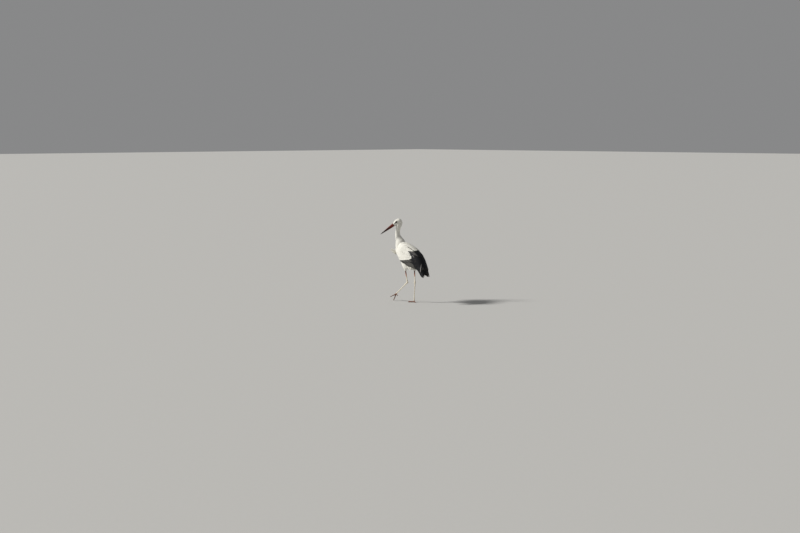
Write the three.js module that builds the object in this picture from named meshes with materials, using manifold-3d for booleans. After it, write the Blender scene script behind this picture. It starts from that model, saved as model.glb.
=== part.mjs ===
// A life-size white stork in mid-step, as a still model.
// Millimetres, +Z up. The trunk faces -Y and the bird's left side is +X.
// The origin is on the floor under the toe joint of the right foot, which carries the bird.

import * as THREE from 'three';
import { mergeVertices } from 'three/addons/utils/BufferGeometryUtils.js';
import Module from 'manifold-3d';

const wasm = await Module();
wasm.setup();
const { Manifold, Mesh: SolidMesh } = wasm;

// ---------------------------------------------------------------- driving dimensions

const GAP = 0.3; // left between neighbouring pieces

const BILL_LENGTH = 180;
const BILL_PITCH = THREE.MathUtils.degToRad(36); // below the horizontal
const HEAD_YAW = THREE.MathUtils.degToRad(46); // turned to the bird's left
const BILL_ROOT = [60, -258, 836]; // middle of the bill's base
const BILL_DEPTH_ABOVE = 18; // culmen above the gape line at the base
const BILL_DEPTH_BELOW = 16;
const BILL_FULLNESS = 1.25; // above 1, the bill's depth holds out further from the base
const BILL_HALF_WIDTH = 12;
const BILL_TIP_HALF_WIDTH = 1.4;
const UPPER_TIP_DEPTH = 2.2;
const LOWER_TIP_DEPTH = 1.2;
const LOWER_BILL_SHORTER = 3;
const BILL_INSET = 4; // how far the bill is drawn into the head before the head is taken off it

const EYE_RADIUS = 8;
const EYE_BACK = 43; // behind the bill's base, along the head
const EYE_RISE = 8; // above the bill's own line
const EYE_OUT = 18; // from the head's middle plane to the eyeball's centre

const WING_SHELL = 14; // thickness of the folded wing, measured square to the back
const WING_SHELL_SHIFT = 10; // the same thickness, split over y and z
const WING_HANG = 30; // how much deeper the room under the wings is than the wings are
const NARROWEST_ROOM = [3, 12]; // above and to the side, where the wing tips thin out
const WING_REACH = 130; // half-width of the cutting prisms, wider than the bird

const TOE_RADIUS = 6.2;
const TOE_TIP_RADIUS = 4.2;
const CLAW_LENGTH = 10;
const CLAW_INSET = 3; // how far a claw is drawn into its toe before the toe is taken off it

// ---------------------------------------------------------------- colours

const WHITE = { color: 0xf1ece0, roughness: 0.85, metalness: 0 };
const BLACK = { color: 0x15171d, roughness: 0.5, metalness: 0 };
const SLATE = { color: 0x3c3d40, roughness: 0.6, metalness: 0 };
const BILL_RED = { color: 0x8e2a14, roughness: 0.45, metalness: 0 };
const LEG_RED = { color: 0xb98e78, roughness: 0.6, metalness: 0 };
const FOOT_RED = { color: 0x8a4230, roughness: 0.6, metalness: 0 };
const CLAW = { color: 0x3a302b, roughness: 0.4, metalness: 0 };
const EYE = { color: 0x120d0a, roughness: 0.08, metalness: 0 };

// ---------------------------------------------------------------- solids and meshes

const X = new THREE.Vector3(1, 0, 0);
const Y = new THREE.Vector3(0, 1, 0);
const Z = new THREE.Vector3(0, 0, 1);
const BIRD_LEFT = X;
const vector = (xyz) => new THREE.Vector3(...xyz);
const onSide = (side, outline) => (side > 0 ? outline : outline.map(([x, y]) => [-x, y]));
const onFloor = (solid) => solid.trimByPlane([0, 0, 1], 0);

function signedVolume(points, triangles) {
  let sum = 0;
  for (let i = 0; i < triangles.length; i += 3) {
    const [a, b, c] = [points[triangles[i]], points[triangles[i + 1]], points[triangles[i + 2]]];
    sum += a.dot(b.clone().cross(c)) / 6;
  }
  return sum;
}

function solidFrom(points, triangles) {
  if (signedVolume(points, triangles) < 0) triangles.reverse();
  const vertProperties = new Float32Array(points.flatMap((point) => point.toArray()));
  const mesh = new SolidMesh({ numProp: 3, vertProperties, triVerts: new Uint32Array(triangles) });
  return new Manifold(mesh);
}

// A closed solid over a row of rings that all have the same number of points.
function overRings(rings) {
  const sides = rings[0].length;
  const points = rings.flat();
  const triangles = [];
  for (let ring = 0; ring + 1 < rings.length; ring += 1) {
    for (let side = 0; side < sides; side += 1) {
      const here = ring * sides + side;
      const beside = ring * sides + ((side + 1) % sides);
      triangles.push(here, beside, beside + sides, here, beside + sides, here + sides);
    }
  }
  const cap = (first, turn) => {
    const middle = new THREE.Vector3();
    for (let side = 0; side < sides; side += 1) middle.addScaledVector(points[first + side], 1 / sides);
    points.push(middle);
    for (let side = 0; side < sides; side += 1) {
      const pair = [first + side, first + ((side + 1) % sides)];
      triangles.push(points.length - 1, pair[turn], pair[1 - turn]);
    }
  };
  cap(0, 1);
  cap((rings.length - 1) * sides, 0);
  return solidFrom(points, triangles);
}

// A point of the unit circle, with its lower half drawn out towards a square where fullness is below 1.
function roundOrFull(angle, fullness) {
  const [across, up] = [Math.cos(angle), Math.sin(angle)];
  if (up > 0) return [across, up];
  return [Math.sign(across) * Math.abs(across) ** fullness, -(Math.abs(up) ** fullness)];
}

// A station of a body is [x, y, z, above, below, wide]: the centre of a ring and its three radii.
// Above is the bird's upper or hind side when the stations run from bill to tail.
// The grid may turn its sideways direction on the way, grow every ring, keep only a stretch of the
// stations, or fill out the lower half of the rings.
function body(stations, grid) {
  const { rings, sides, across = [BIRD_LEFT, BIRD_LEFT], grow = 0, from = 0, to = 1, fullness = 1 } = grid;
  const path = new THREE.CatmullRomCurve3(stations.map((row) => vector(row.slice(0, 3))));
  const radii = new THREE.CatmullRomCurve3(stations.map((row) => vector(row.slice(3, 6))));
  const row = [];
  for (let ring = 0; ring <= rings; ring += 1) {
    const t = from + ((to - from) * ring) / rings;
    const centre = path.getPoint(t);
    const ahead = path.getTangent(t);
    const side = across[0].clone().lerp(across[1], t);
    side.addScaledVector(ahead, -side.dot(ahead)).normalize();
    const above = side.clone().cross(ahead);
    const { x: tall, y: deep, z: wide } = radii.getPoint(t);
    if (ring === 0) centre.addScaledVector(ahead, -grow);
    if (ring === rings) centre.addScaledVector(ahead, grow);
    const points = [];
    for (let k = 0; k < sides; k += 1) {
      const [sideways, up] = roundOrFull((2 * Math.PI * (k + 0.5)) / sides, fullness);
      const point = centre.clone().addScaledVector(side, sideways * (wide + grow));
      points.push(point.addScaledVector(above, up * ((up > 0 ? tall : deep) + grow)));
    }
    row.push(points);
  }
  return overRings(row);
}

// The solid inside a closed three.js geometry.
function solidOf(geometry) {
  geometry.deleteAttribute('normal');
  geometry.deleteAttribute('uv');
  const merged = mergeVertices(geometry, 1e-4);
  const { position } = merged.attributes;
  const points = [];
  for (let i = 0; i < position.count; i += 1) {
    points.push(new THREE.Vector3().fromBufferAttribute(position, i));
  }
  return solidFrom(points, Array.from(merged.index.array));
}

const SIDE_VIEW = new THREE.Matrix4().makeBasis(Y, Z, X); // outlines as [y, z], depth along x
const TOP_VIEW = new THREE.Matrix4().makeBasis(X, Y, Z); // outlines as [x, y], depth along z
const END_VIEW = new THREE.Matrix4().makeBasis(Z, X, Y); // outlines as [z, x], depth along y

function prism(view, outline, start, end) {
  const shape = new THREE.Shape(outline.map(([u, v]) => new THREE.Vector2(u, v)));
  const geometry = new THREE.ExtrudeGeometry(shape, { depth: end - start, bevelEnabled: false });
  geometry.translate(0, 0, start);
  geometry.applyMatrix4(view);
  return solidOf(geometry);
}

// A thin curtain along a border, which parts what it passes through.
function curtain(view, border, start, end) {
  const points = border.map(([u, v]) => new THREE.Vector2(u, v));
  const strips = points.slice(1).map((to, i) => {
    const along = to.clone().sub(points[i]).setLength(GAP / 2);
    const out = new THREE.Vector2(-along.y, along.x);
    const ends = [points[i].clone().sub(along), to.clone().add(along)];
    const near = ends.map((point) => point.clone().sub(out).toArray());
    const far = ends.map((point) => point.clone().add(out).toArray());
    return prism(view, [...near, ...far.reverse()], start, end);
  });
  return Manifold.union(strips);
}

// Booleans can leave specks along a cut: the piece itself is the largest body.
function mainBody(solid) {
  return solid.decompose().sort((a, b) => b.volume() - a.volume())[0];
}

const stork = new THREE.Group();

function addPart(name, solid, finish) {
  const { vertProperties, triVerts, numProp } = solid.getMesh();
  const geometry = new THREE.BufferGeometry();
  const position = new Float32Array((vertProperties.length / numProp) * 3);
  for (let i = 0; i < position.length / 3; i += 1) {
    for (let axis = 0; axis < 3; axis += 1) position[i * 3 + axis] = vertProperties[i * numProp + axis];
  }
  geometry.setAttribute('position', new THREE.BufferAttribute(position, 3));
  geometry.setIndex(new THREE.BufferAttribute(new Uint32Array(triVerts), 1));
  geometry.computeVertexNormals();
  const mesh = new THREE.Mesh(geometry, new THREE.MeshStandardMaterial(finish));
  mesh.name = name;
  stork.add(mesh);
}

// ---------------------------------------------------------------- head, eyes and bill

const HEAD_AHEAD = new THREE.Vector3(Math.sin(HEAD_YAW), -Math.cos(HEAD_YAW), 0);
const HEAD_LEFT = new THREE.Vector3(Math.cos(HEAD_YAW), Math.sin(HEAD_YAW), 0);
const HEAD_BACK = HEAD_AHEAD.clone().multiplyScalar(-Math.cos(BILL_PITCH));
HEAD_BACK.z = Math.sin(BILL_PITCH);
const HEAD_UP = HEAD_LEFT.clone().cross(HEAD_BACK);

// A point of the head: so far behind the bill's base, above the bill's line and out to the left.
function headPoint(back, rise, left = 0) {
  return vector(BILL_ROOT).addScaledVector(HEAD_BACK, back).addScaledVector(HEAD_UP, rise)
    .addScaledVector(HEAD_LEFT, left);
}

function headStation(back, rise, above, below, wide) {
  return [...headPoint(back, rise).toArray(), above, below, wide];
}

const HEAD = [
  headStation(0, 0, 18, 16.5, 12.8),
  headStation(15, 1, 22, 20.5, 18),
  headStation(34, 2.5, 28.5, 25, 22.5),
  headStation(56, 1, 33, 28, 25.5),
  headStation(74, -5, 31.5, 24, 26),
  headStation(84, -17, 15, 17, 23),
  headStation(87, -29, 8.5, 10, 18),
  headStation(85, -42, 4.5, 6, 10),
];
const HEAD_GRID = { rings: 9, sides: 16, across: [HEAD_LEFT, HEAD_LEFT] };
const EYE_GRID = [12, 6];

const BILL_GRID = [6, 8]; // steps to the tip, and sides along the half round of one ring

function eyeball(side, grow = 0) {
  const geometry = new THREE.SphereGeometry(EYE_RADIUS + grow, ...EYE_GRID);
  geometry.translate(...headPoint(EYE_BACK, EYE_RISE, side * EYE_OUT).toArray());
  return solidOf(geometry);
}

// Both halves of the bill taper to the tip, straight from above and slightly full from the side.
function mandible(direction, depth, length, tipDepth) {
  const [steps, sides] = BILL_GRID;
  const rings = [];
  for (let i = 0; i <= steps; i += 1) {
    const t = i / steps;
    const reach = THREE.MathUtils.lerp(BILL_INSET, -length, t);
    const tall = THREE.MathUtils.lerp(depth, tipDepth, t ** BILL_FULLNESS);
    const wide = THREE.MathUtils.lerp(BILL_HALF_WIDTH, BILL_TIP_HALF_WIDTH, t);
    const ring = [];
    for (let k = 0; k <= sides; k += 1) {
      const angle = (Math.PI * k) / sides;
      const rise = direction * (GAP / 2 + Math.sin(angle) * tall);
      ring.push(headPoint(reach, rise, Math.cos(angle) * wide));
    }
    rings.push(ring);
  }
  return overRings(rings);
}

const upperBill = mandible(1, BILL_DEPTH_ABOVE, BILL_LENGTH, UPPER_TIP_DEPTH);
const lowerBill = mandible(-1, BILL_DEPTH_BELOW, BILL_LENGTH - LOWER_BILL_SHORTER, LOWER_TIP_DEPTH);
const sockets = eyeball(1, GAP).add(eyeball(-1, GAP));
const head = body(HEAD, HEAD_GRID).subtract(sockets);

// ---------------------------------------------------------------- trunk, tail and neck

const TRUNK = [
  [0, -268, 560, 6, 6, 6],
  [0, -257, 561, 38, 37, 33],
  [0, -234, 562, 64, 64, 53],
  [0, -190, 556, 86, 92, 70],
  [0, -130, 537, 96, 102, 78],
  [0, -50, 508, 92, 106, 78],
  [0, 20, 480, 80, 92, 68],
  [0, 74, 450, 60, 64, 52],
  [0, 114, 410, 38, 34, 37],
  [0, 140, 366, 14, 12, 20],
];
const TRUNK_GRID = { rings: 12, sides: 20 };

const TAIL = [
  [0, 88, 470, 10, 10, 20],
  [0, 118, 420, 8, 9, 26],
  [0, 146, 370, 6, 8, 31],
  [0, 170, 328, 4, 5, 34],
  [0, 178, 314, 3, 3, 31],
];
const TAIL_GRID = { rings: 6, sides: 14 };

const NECK = [
  [...headPoint(66, -6).toArray(), 31, 22, 22],
  [23, -222, 834, 38.5, 25, 24.5],
  [15, -233, 797, 24, 24, 24],
  [9, -249, 754, 25, 24, 25],
  [5, -249, 712, 30, 28, 30],
  [2, -235, 674, 43, 38, 42],
  [0, -218, 634, 60, 52, 56],
  [0, -204, 590, 56, 62, 58],
];
const NECK_CUTS = [0, 0.36, 0.62, 1]; // along the neck, from the head down
const NECK_GRID = { rings: 6, sides: 14, across: [HEAD_LEFT, BIRD_LEFT] };
const NECK_CUT_GAP = 0.0015; // of the neck's length, the width of a cut

const trunk = body(TRUNK, TRUNK_GRID);
const trunkRoom = body(TRUNK, { ...TRUNK_GRID, grow: GAP });
const headRoom = body(HEAD, { ...HEAD_GRID, grow: GAP });
const tail = body(TAIL, TAIL_GRID).subtract(trunkRoom);
const tailRoom = body(TAIL, { ...TAIL_GRID, grow: GAP });

function neckLength(index, grow = 0) {
  const from = NECK_CUTS[index] + (index > 0 ? NECK_CUT_GAP : 0);
  const to = NECK_CUTS[index + 1];
  return body(NECK, { ...NECK_GRID, from, to, grow });
}

const NECK_WORDS = ['upper', 'middle', 'lower'];
const neckRoom = Manifold.union(NECK_WORDS.map((word, index) => neckLength(index, GAP)));

// ---------------------------------------------------------------- legs

const KNEE_OVERLAP = 0.08; // part of the bare tibia that starts inside the thigh's feathers
const ANKLE_RADIUS = 11.5;
const FOOT_PAD_RADIUS = 11;
const WEB_HALF_THICKNESS = 1.6;
const WEB_REACH = 24; // along the toes, from the toe joint

// A toe turns from straight ahead towards the bird's left, and slopes down at its root and its tip.
// The middle toe comes first, and the webbed ones are joined to it.
// The left leg reaches forward, and only its middle toe touches the floor.
const LEFT_LEG = {
  side: 'left',
  thigh: [
    [40, -114, 486, 50, 52, 28],
    [42, -108, 438, 50, 46, 28],
    [44, -98, 396, 50, 31, 25],
    [45, -91, 360, 30, 15, 15.5],
    [45, -86, 338, 7.5, 7.5, 7.5],
  ],
  ankle: [45, -59, 218],
  toeJoint: [60, -222, 76],
  toes: [
    { name: 'middle', length: 82, turn: 4, slope: [68, 60] },
    { name: 'inner', length: 60, turn: -30, slope: [38, 30], webbed: true },
    { name: 'outer', length: 66, turn: 38, slope: [30, 24], webbed: true },
    { name: 'hind', length: 32, turn: 172, slope: [22, 34] },
  ],
};
const RIGHT_LEG = {
  side: 'right',
  thigh: [
    [-38, -46, 486, 50, 52, 28],
    [-35, -36, 438, 50, 46, 28],
    [-25, -20, 396, 47, 30, 24],
    [-15, -7, 364, 27, 15, 14.5],
    [-8, -1, 342, 7.5, 7.5, 7.5],
  ],
  ankle: [-4, 9, 219],
  toeJoint: [0, 0, 8.5],
  toes: [
    { name: 'middle', length: 82, turn: 2, slope: [8, 4] },
    { name: 'inner', length: 60, turn: 40, slope: [8, 4], webbed: true },
    { name: 'outer', length: 66, turn: -42, slope: [8, 4], webbed: true },
    { name: 'hind', length: 32, turn: 166, slope: [12, 6] },
  ],
};
const THIGH_GRID = { rings: 8, sides: 12 };
const SHANK_GRID = { rings: 6, sides: 8 };
const TOE_GRID = { rings: 5, sides: 7 };
const CLAW_GRID = { rings: 2, sides: 6 };
const BALL_GRID = [10, 6];
const TOE_STEPS = 7;
const SHANK_NARROWING = 0.92; // a shank's width for each unit of its depth
const TOE_FLATNESS = 0.78; // a toe's height above the floor for each unit of its radius
const TOE_ROOT = 6; // from the toe joint to where a toe starts, inside the foot's pad
const TOE_SWELL = 0.09; // the pads under a toe's joints
const TOE_PADS = 3;
const CLAW_TIP_RADIUS = 1.3;
const TIBIA_KNOBS = [[0, 7], [0.35, 6.4], [0.75, 6.4], [1, 9.5]]; // [part of the way, radius]
const TARSUS_KNOBS = [[0, 9.5], [0.12, 7.4], [0.35, 5.4], [0.65, 5.2], [0.9, 6.4], [1, 7.5]];

function ball(centre, radius, grow = 0) {
  const geometry = new THREE.SphereGeometry(radius + grow, ...BALL_GRID);
  geometry.translate(...centre);
  return solidOf(geometry);
}

// A shank runs between two joints and swells towards them.
function shank(top, bottom, knobs, grow = 0) {
  const stations = knobs.map(([t, radius]) => {
    const centre = vector(top).lerp(vector(bottom), t);
    return [...centre.toArray(), radius, radius, radius * SHANK_NARROWING];
  });
  return body(stations, { ...SHANK_GRID, grow });
}

// Steps along a toe from its joint: it slopes down until it lies on the floor.
function toeSteps(joint, { length, turn, slope }, start, end, radiusAt) {
  const yaw = THREE.MathUtils.degToRad(turn);
  const row = [];
  for (let i = 0; i <= TOE_STEPS; i += 1) {
    const t = THREE.MathUtils.lerp(start, end, i / TOE_STEPS);
    const pitch = THREE.MathUtils.degToRad(THREE.MathUtils.lerp(slope[0], slope[1], t / 2));
    const radius = radiusAt(i / TOE_STEPS);
    const reach = t * length * Math.cos(pitch);
    const height = Math.max(joint[2] - t * length * Math.sin(pitch), radius * TOE_FLATNESS);
    const [x, y] = [joint[0] + Math.sin(yaw) * reach, joint[1] - Math.cos(yaw) * reach];
    row.push([x, y, height, radius, radius, radius]);
  }
  return row;
}

function toeAcross({ turn }) {
  const yaw = THREE.MathUtils.degToRad(turn);
  const across = new THREE.Vector3(Math.cos(yaw), Math.sin(yaw), 0);
  return [across, across];
}

function toeRadius(t) {
  const swell = 1 + TOE_SWELL * Math.cos(2 * Math.PI * TOE_PADS * t);
  return THREE.MathUtils.lerp(TOE_RADIUS, TOE_TIP_RADIUS, t) * swell;
}

function toe(leg, digit, grow = 0) {
  const steps = toeSteps(leg.toeJoint, digit, TOE_ROOT / digit.length, 1, toeRadius);
  return body(steps, { ...TOE_GRID, across: toeAcross(digit), grow });
}

function claw(leg, digit) {
  const start = 1 - CLAW_INSET / digit.length;
  const end = 1 + CLAW_LENGTH / digit.length;
  const radiusAt = (t) => THREE.MathUtils.lerp(TOE_TIP_RADIUS, CLAW_TIP_RADIUS, t);
  const steps = toeSteps(leg.toeJoint, digit, start, end, radiusAt);
  return onFloor(body(steps, { ...CLAW_GRID, across: toeAcross(digit) }));
}

// A small web fills the corner between a front toe and the middle one.
function web(leg, first, second) {
  const corner = (digit) => {
    const reach = WEB_REACH / digit.length;
    return vector(toeSteps(leg.toeJoint, digit, 0, reach, toeRadius).at(-1).slice(0, 3));
  };
  const corners = [vector(leg.toeJoint), corner(first), corner(second)];
  const [along, beside] = [corners[1].clone().sub(corners[0]), corners[2].clone().sub(corners[0])];
  const normal = along.cross(beside).setLength(WEB_HALF_THICKNESS);
  const face = (direction) => corners.map((point) => point.clone().addScaledVector(normal, direction));
  return overRings([face(1), face(-1)]);
}

function addLeg(leg) {
  const { side, ankle, toeJoint, toes } = leg;
  const knee = leg.thigh.at(-1).slice(0, 3);
  const top = vector(knee).lerp(vector(ankle), -KNEE_OVERLAP).toArray();
  const thighRoom = body(leg.thigh, { ...THIGH_GRID, grow: GAP });
  const ankleRoom = ball(ankle, ANKLE_RADIUS, GAP);
  const padRoom = ball(toeJoint, FOOT_PAD_RADIUS, GAP);
  const tarsusRoom = shank(ankle, toeJoint, TARSUS_KNOBS, GAP);
  const tibia = shank(top, ankle, TIBIA_KNOBS).subtract(thighRoom).subtract(ankleRoom);
  const tarsus = shank(ankle, toeJoint, TARSUS_KNOBS).subtract(ankleRoom).subtract(padRoom);
  addPart(`thigh_${side}`, mainBody(body(leg.thigh, THIGH_GRID).subtract(trunkRoom)), WHITE);
  addPart(`tibia_${side}`, mainBody(tibia), LEG_RED);
  addPart(`ankle_${side}`, ball(ankle, ANKLE_RADIUS), LEG_RED);
  addPart(`tarsus_${side}`, mainBody(tarsus), LEG_RED);
  addPart(`foot_${side}`, onFloor(ball(toeJoint, FOOT_PAD_RADIUS)), FOOT_RED);
  let taken = padRoom.add(tarsusRoom);
  for (const digit of toes) {
    let solid = toe(leg, digit);
    if (digit.webbed) solid = solid.add(web(leg, digit, toes[0]));
    addPart(`toe_${side}_${digit.name}`, mainBody(onFloor(solid.subtract(taken))), FOOT_RED);
    const toeRoom = toe(leg, digit, GAP);
    addPart(`claw_${side}_${digit.name}`, mainBody(claw(leg, digit).subtract(toeRoom)), CLAW);
    taken = taken.add(toeRoom);
  }
}

// ---------------------------------------------------------------- folded wings

// The outer surface of both folded wings, from the shoulders to the tips.
const CLOAK = [
  [0, -244, 566, 60, 66, 54],
  [0, -196, 561, 94, 106, 79],
  [0, -120, 536, 106, 130, 88],
  [0, -40, 508, 100, 134, 88],
  [0, 26, 480, 90, 124, 80],
  [0, 78, 448, 76, 106, 68],
  [0, 118, 402, 59, 84, 57],
  [0, 150, 350, 46, 62, 54],
  [0, 178, 300, 31, 38, 52],
  [0, 190, 276, 18, 22, 48],
];
const CLOAK_GRID = { rings: 15, sides: 20, fullness: 0.62 };

// The room under the wings, one shell thickness inside them and open below.
const UNDER_CLOAK = CLOAK.map(([x, y, z, above, below, wide]) => {
  const [low, narrow] = NARROWEST_ROOM;
  const radii = [Math.max(above - WING_SHELL, low), below + WING_HANG, Math.max(wide - WING_SHELL, narrow)];
  return [x, y - WING_SHELL_SHIFT, z - WING_SHELL_SHIFT, ...radii];
});

// Side view of the folded wing, as [y, z] points: its front, its lower edge and then well clear of it.
const WING_FRONT = [[-120, 740], [-150, 676], [-176, 630], [-188, 590], [-186, 545], [-168, 490]];
const WING_UNDERSIDE = [
  [-140, 444], [-100, 425], [-40, 402], [30, 385], [70, 373], [95, 359], [117, 338], [138, 311], [154, 296],
  [172, 288],
];
const WING_REAR = [[210, 284], [260, 380], [230, 600], [100, 740]];

// Where the white coverts and scapulars end, from the front to the back.
const COVERT_BORDER = [
  [-260, 452], [-127, 457], [-54, 465], [3, 472], [41, 489], [38, 507], [18, 532], [-28, 568],
];
const SCAPULAR_BORDER = [[-28, 568], [4, 563], [150, 560]];
const WHITE_BORDER = [...COVERT_BORDER, ...SCAPULAR_BORDER.slice(1)];
const SECONDARY_BORDER = [[41, 489], [66, 440], [100, 330]];
const PRIMARY_BORDER = [[70, 430], [150, 384], [260, 330]];

// Top view, as [x, y] points, of the left scapulars' outer edge.
const SCAPULAR_EDGE = [[-2, -230], [40, -160], [46, -100], [34, -38], [38, -3], [40, 120]];

const BEHIND_WING = 260; // the outlines below run well clear of the wings: y behind them,
const BEFORE_WING = -260; // y before them
const [UNDER_WING, OVER_WING] = [200, 800]; // and z below and above them
const SCAPULAR_REAR = SCAPULAR_EDGE.at(-1)[1];
const BACK_LEVEL = 540; // the scapulars lie above this height

// Seen from behind, as [z, x] points: the two wing tips are round, with a notch between them.
const HALF_TIP = [[316, 0], [306, 14], [292, 27], [285, 40], [289, 51], [305, 60], [330, 66], [330, 90]];
const OTHER_HALF_TIP = HALF_TIP.slice(1).reverse().map(([z, x]) => [z, -x]);
const BELOW_TIPS = [...HALF_TIP, [UNDER_WING, 90], [UNDER_WING, -90], ...OTHER_HALF_TIP];
const TIP_DEPTH = [60, 300]; // y that the notch is cut through

function addWing(side, word) {
  const inner = side > 0 ? GAP / 2 : -WING_REACH;
  const outer = side > 0 ? WING_REACH : -GAP / 2;
  const within = (outline) => prism(SIDE_VIEW, outline, inner, outer);
  const cut = (border) => curtain(SIDE_VIEW, border, inner, outer);
  const edge = onSide(side, SCAPULAR_EDGE);
  const whole = cloak.intersect(within([...WING_FRONT, ...WING_UNDERSIDE, ...WING_REAR]));
  const parted = whole.subtract(cut(WHITE_BORDER)).subtract(cut(SECONDARY_BORDER));
  const whiteRoom = within([...WHITE_BORDER, [WHITE_BORDER.at(-1)[0], OVER_WING], [BEFORE_WING, OVER_WING]]);
  const dark = parted.subtract(whiteRoom);
  const white = parted.intersect(whiteRoom).subtract(curtain(TOP_VIEW, edge, BACK_LEVEL, OVER_WING));
  const strip = onSide(side, [...SCAPULAR_EDGE, [SCAPULAR_EDGE[0][0], SCAPULAR_REAR]]);
  const inStrip = prism(TOP_VIEW, strip, BACK_LEVEL, OVER_WING);
  const [secondaryTop, secondaryEnd] = [SECONDARY_BORDER[0], SECONDARY_BORDER.at(-1)];
  const secondaries = within([
    [BEFORE_WING, UNDER_WING], [BEFORE_WING, secondaryTop[1]],
    ...SECONDARY_BORDER, [secondaryEnd[0], UNDER_WING],
  ]);
  const primaryRoot = PRIMARY_BORDER[0][0];
  const primaries = within([...PRIMARY_BORDER, [BEHIND_WING, UNDER_WING], [primaryRoot, UNDER_WING]]);
  const hind = dark.subtract(secondaries).subtract(cut(PRIMARY_BORDER));
  addPart(`wing_${word}_scapulars`, mainBody(white.intersect(inStrip)), WHITE);
  addPart(`wing_${word}_coverts`, mainBody(white.subtract(inStrip)), WHITE);
  addPart(`wing_${word}_secondaries`, mainBody(dark.intersect(secondaries)), SLATE);
  addPart(`wing_${word}_tertials`, mainBody(hind.subtract(primaries)), BLACK);
  addPart(`wing_${word}_primaries`, mainBody(hind.intersect(primaries)), BLACK);
}

const thighRooms = [LEFT_LEG, RIGHT_LEG].map((leg) => body(leg.thigh, { ...THIGH_GRID, grow: GAP }));
const cloak = body(CLOAK, CLOAK_GRID)
  .subtract(Manifold.union([trunkRoom, neckRoom, tailRoom, ...thighRooms]))
  .subtract(body(UNDER_CLOAK, CLOAK_GRID))
  .subtract(prism(END_VIEW, BELOW_TIPS, ...TIP_DEPTH));

// ---------------------------------------------------------------- the model

addPart('bill_upper', mainBody(upperBill.subtract(headRoom)), BILL_RED);
addPart('bill_lower', mainBody(lowerBill.subtract(headRoom)), BILL_RED);
addPart('head', head, WHITE);
addPart('eye_left', eyeball(1), EYE);
addPart('eye_right', eyeball(-1), EYE);
NECK_WORDS.forEach((word, index) => {
  addPart(`neck_${word}`, mainBody(neckLength(index).subtract(headRoom).subtract(trunkRoom)), WHITE);
});
addPart('trunk', trunk, WHITE);
addPart('tail', tail, WHITE);
addWing(1, 'left');
addWing(-1, 'right');
addLeg(LEFT_LEG);
addLeg(RIGHT_LEG);

export default stork;
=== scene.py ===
"""A life-size still model of a white stork in mid-step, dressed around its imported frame.

Lengths are metres unless a name or comment says millimetres. +Z is up, the trunk faces -Y and
the bird's left side is +X.
"""

import math

import bpy
import numpy as np
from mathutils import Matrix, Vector
from mathutils.bvhtree import BVHTree
from mathutils.kdtree import KDTree


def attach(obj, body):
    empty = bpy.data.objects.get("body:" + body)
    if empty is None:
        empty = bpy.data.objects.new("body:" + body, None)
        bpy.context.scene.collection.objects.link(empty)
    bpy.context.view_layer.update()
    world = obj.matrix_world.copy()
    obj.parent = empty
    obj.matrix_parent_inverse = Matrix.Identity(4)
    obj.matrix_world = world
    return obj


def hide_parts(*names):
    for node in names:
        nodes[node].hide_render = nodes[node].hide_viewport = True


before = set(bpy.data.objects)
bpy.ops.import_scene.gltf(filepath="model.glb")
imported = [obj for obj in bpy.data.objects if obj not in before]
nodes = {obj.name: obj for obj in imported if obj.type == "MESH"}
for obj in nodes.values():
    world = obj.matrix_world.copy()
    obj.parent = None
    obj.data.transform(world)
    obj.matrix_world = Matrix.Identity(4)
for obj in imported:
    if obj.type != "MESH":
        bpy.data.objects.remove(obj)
bpy.context.view_layer.update()
MM = 0.001

# ---------------------------------------------------------------- camera, floor and light

CAMERA_PLACE = (8.434, 8.513, 1.801)
CAMERA_AZIMUTH = 136.0  # degrees round the bird, from straight ahead of it
CAMERA_TILT = 6.7  # degrees below the horizon
CAMERA_LENS = 50.0

SUN_AZIMUTH = 45.0  # the light comes from the picture's left
SUN_HEIGHT = 34.0  # degrees above the horizon
SUN_STRENGTH = 3.9
SUN_SOFTNESS = 9.0  # degrees across
SUN_COLOUR = (1.0, 0.985, 0.95)
SKY_COLOUR = (0.985, 0.99, 1.0)
SKY_STRENGTH = 0.25
FLOOR_TONE = (0.52, 0.515, 0.50)
FLOOR_SIZE = 200


def add_camera():
    data = bpy.data.cameras.new("camera")
    data.lens = CAMERA_LENS
    data.sensor_width = 36.0
    data.clip_end = 400.0
    camera = bpy.data.objects.new("camera", data)
    camera.location = CAMERA_PLACE
    camera.rotation_euler = (math.radians(90 - CAMERA_TILT), 0, math.radians(CAMERA_AZIMUTH))
    bpy.context.scene.collection.objects.link(camera)
    bpy.context.scene.camera = camera


def add_sun():
    data = bpy.data.lights.new("sun", "SUN")
    data.energy = SUN_STRENGTH
    data.angle = math.radians(SUN_SOFTNESS)
    data.color = SUN_COLOUR
    lamp = bpy.data.objects.new("sun", data)
    lamp.rotation_euler = (math.radians(90 - SUN_HEIGHT), 0, math.radians(SUN_AZIMUTH))
    bpy.context.scene.collection.objects.link(lamp)


def add_stage():
    material, tree, shader = new_material("floor", FLOOR_TONE, 0.9)
    grain = noise(tree, place_of(tree), 35.0, 4.0)
    darker = tuple(0.97 * part for part in FLOOR_TONE)
    put(tree, mixed(tree, grain, FLOOR_TONE, darker), shader.inputs["Base Color"])
    bpy.ops.mesh.primitive_plane_add(size=FLOOR_SIZE)
    floor = bpy.context.active_object
    floor.name = "floor"
    floor.data.materials.append(material)
    world = bpy.data.worlds.new("studio")
    world.use_nodes = True
    back = world.node_tree.nodes["Background"]
    back.inputs["Color"].default_value = (*SKY_COLOUR, 1)
    back.inputs["Strength"].default_value = SKY_STRENGTH
    bpy.context.scene.world = world
    bpy.context.scene.view_settings.view_transform = "Standard"


# ---------------------------------------------------------------- meshes from arrays


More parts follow.
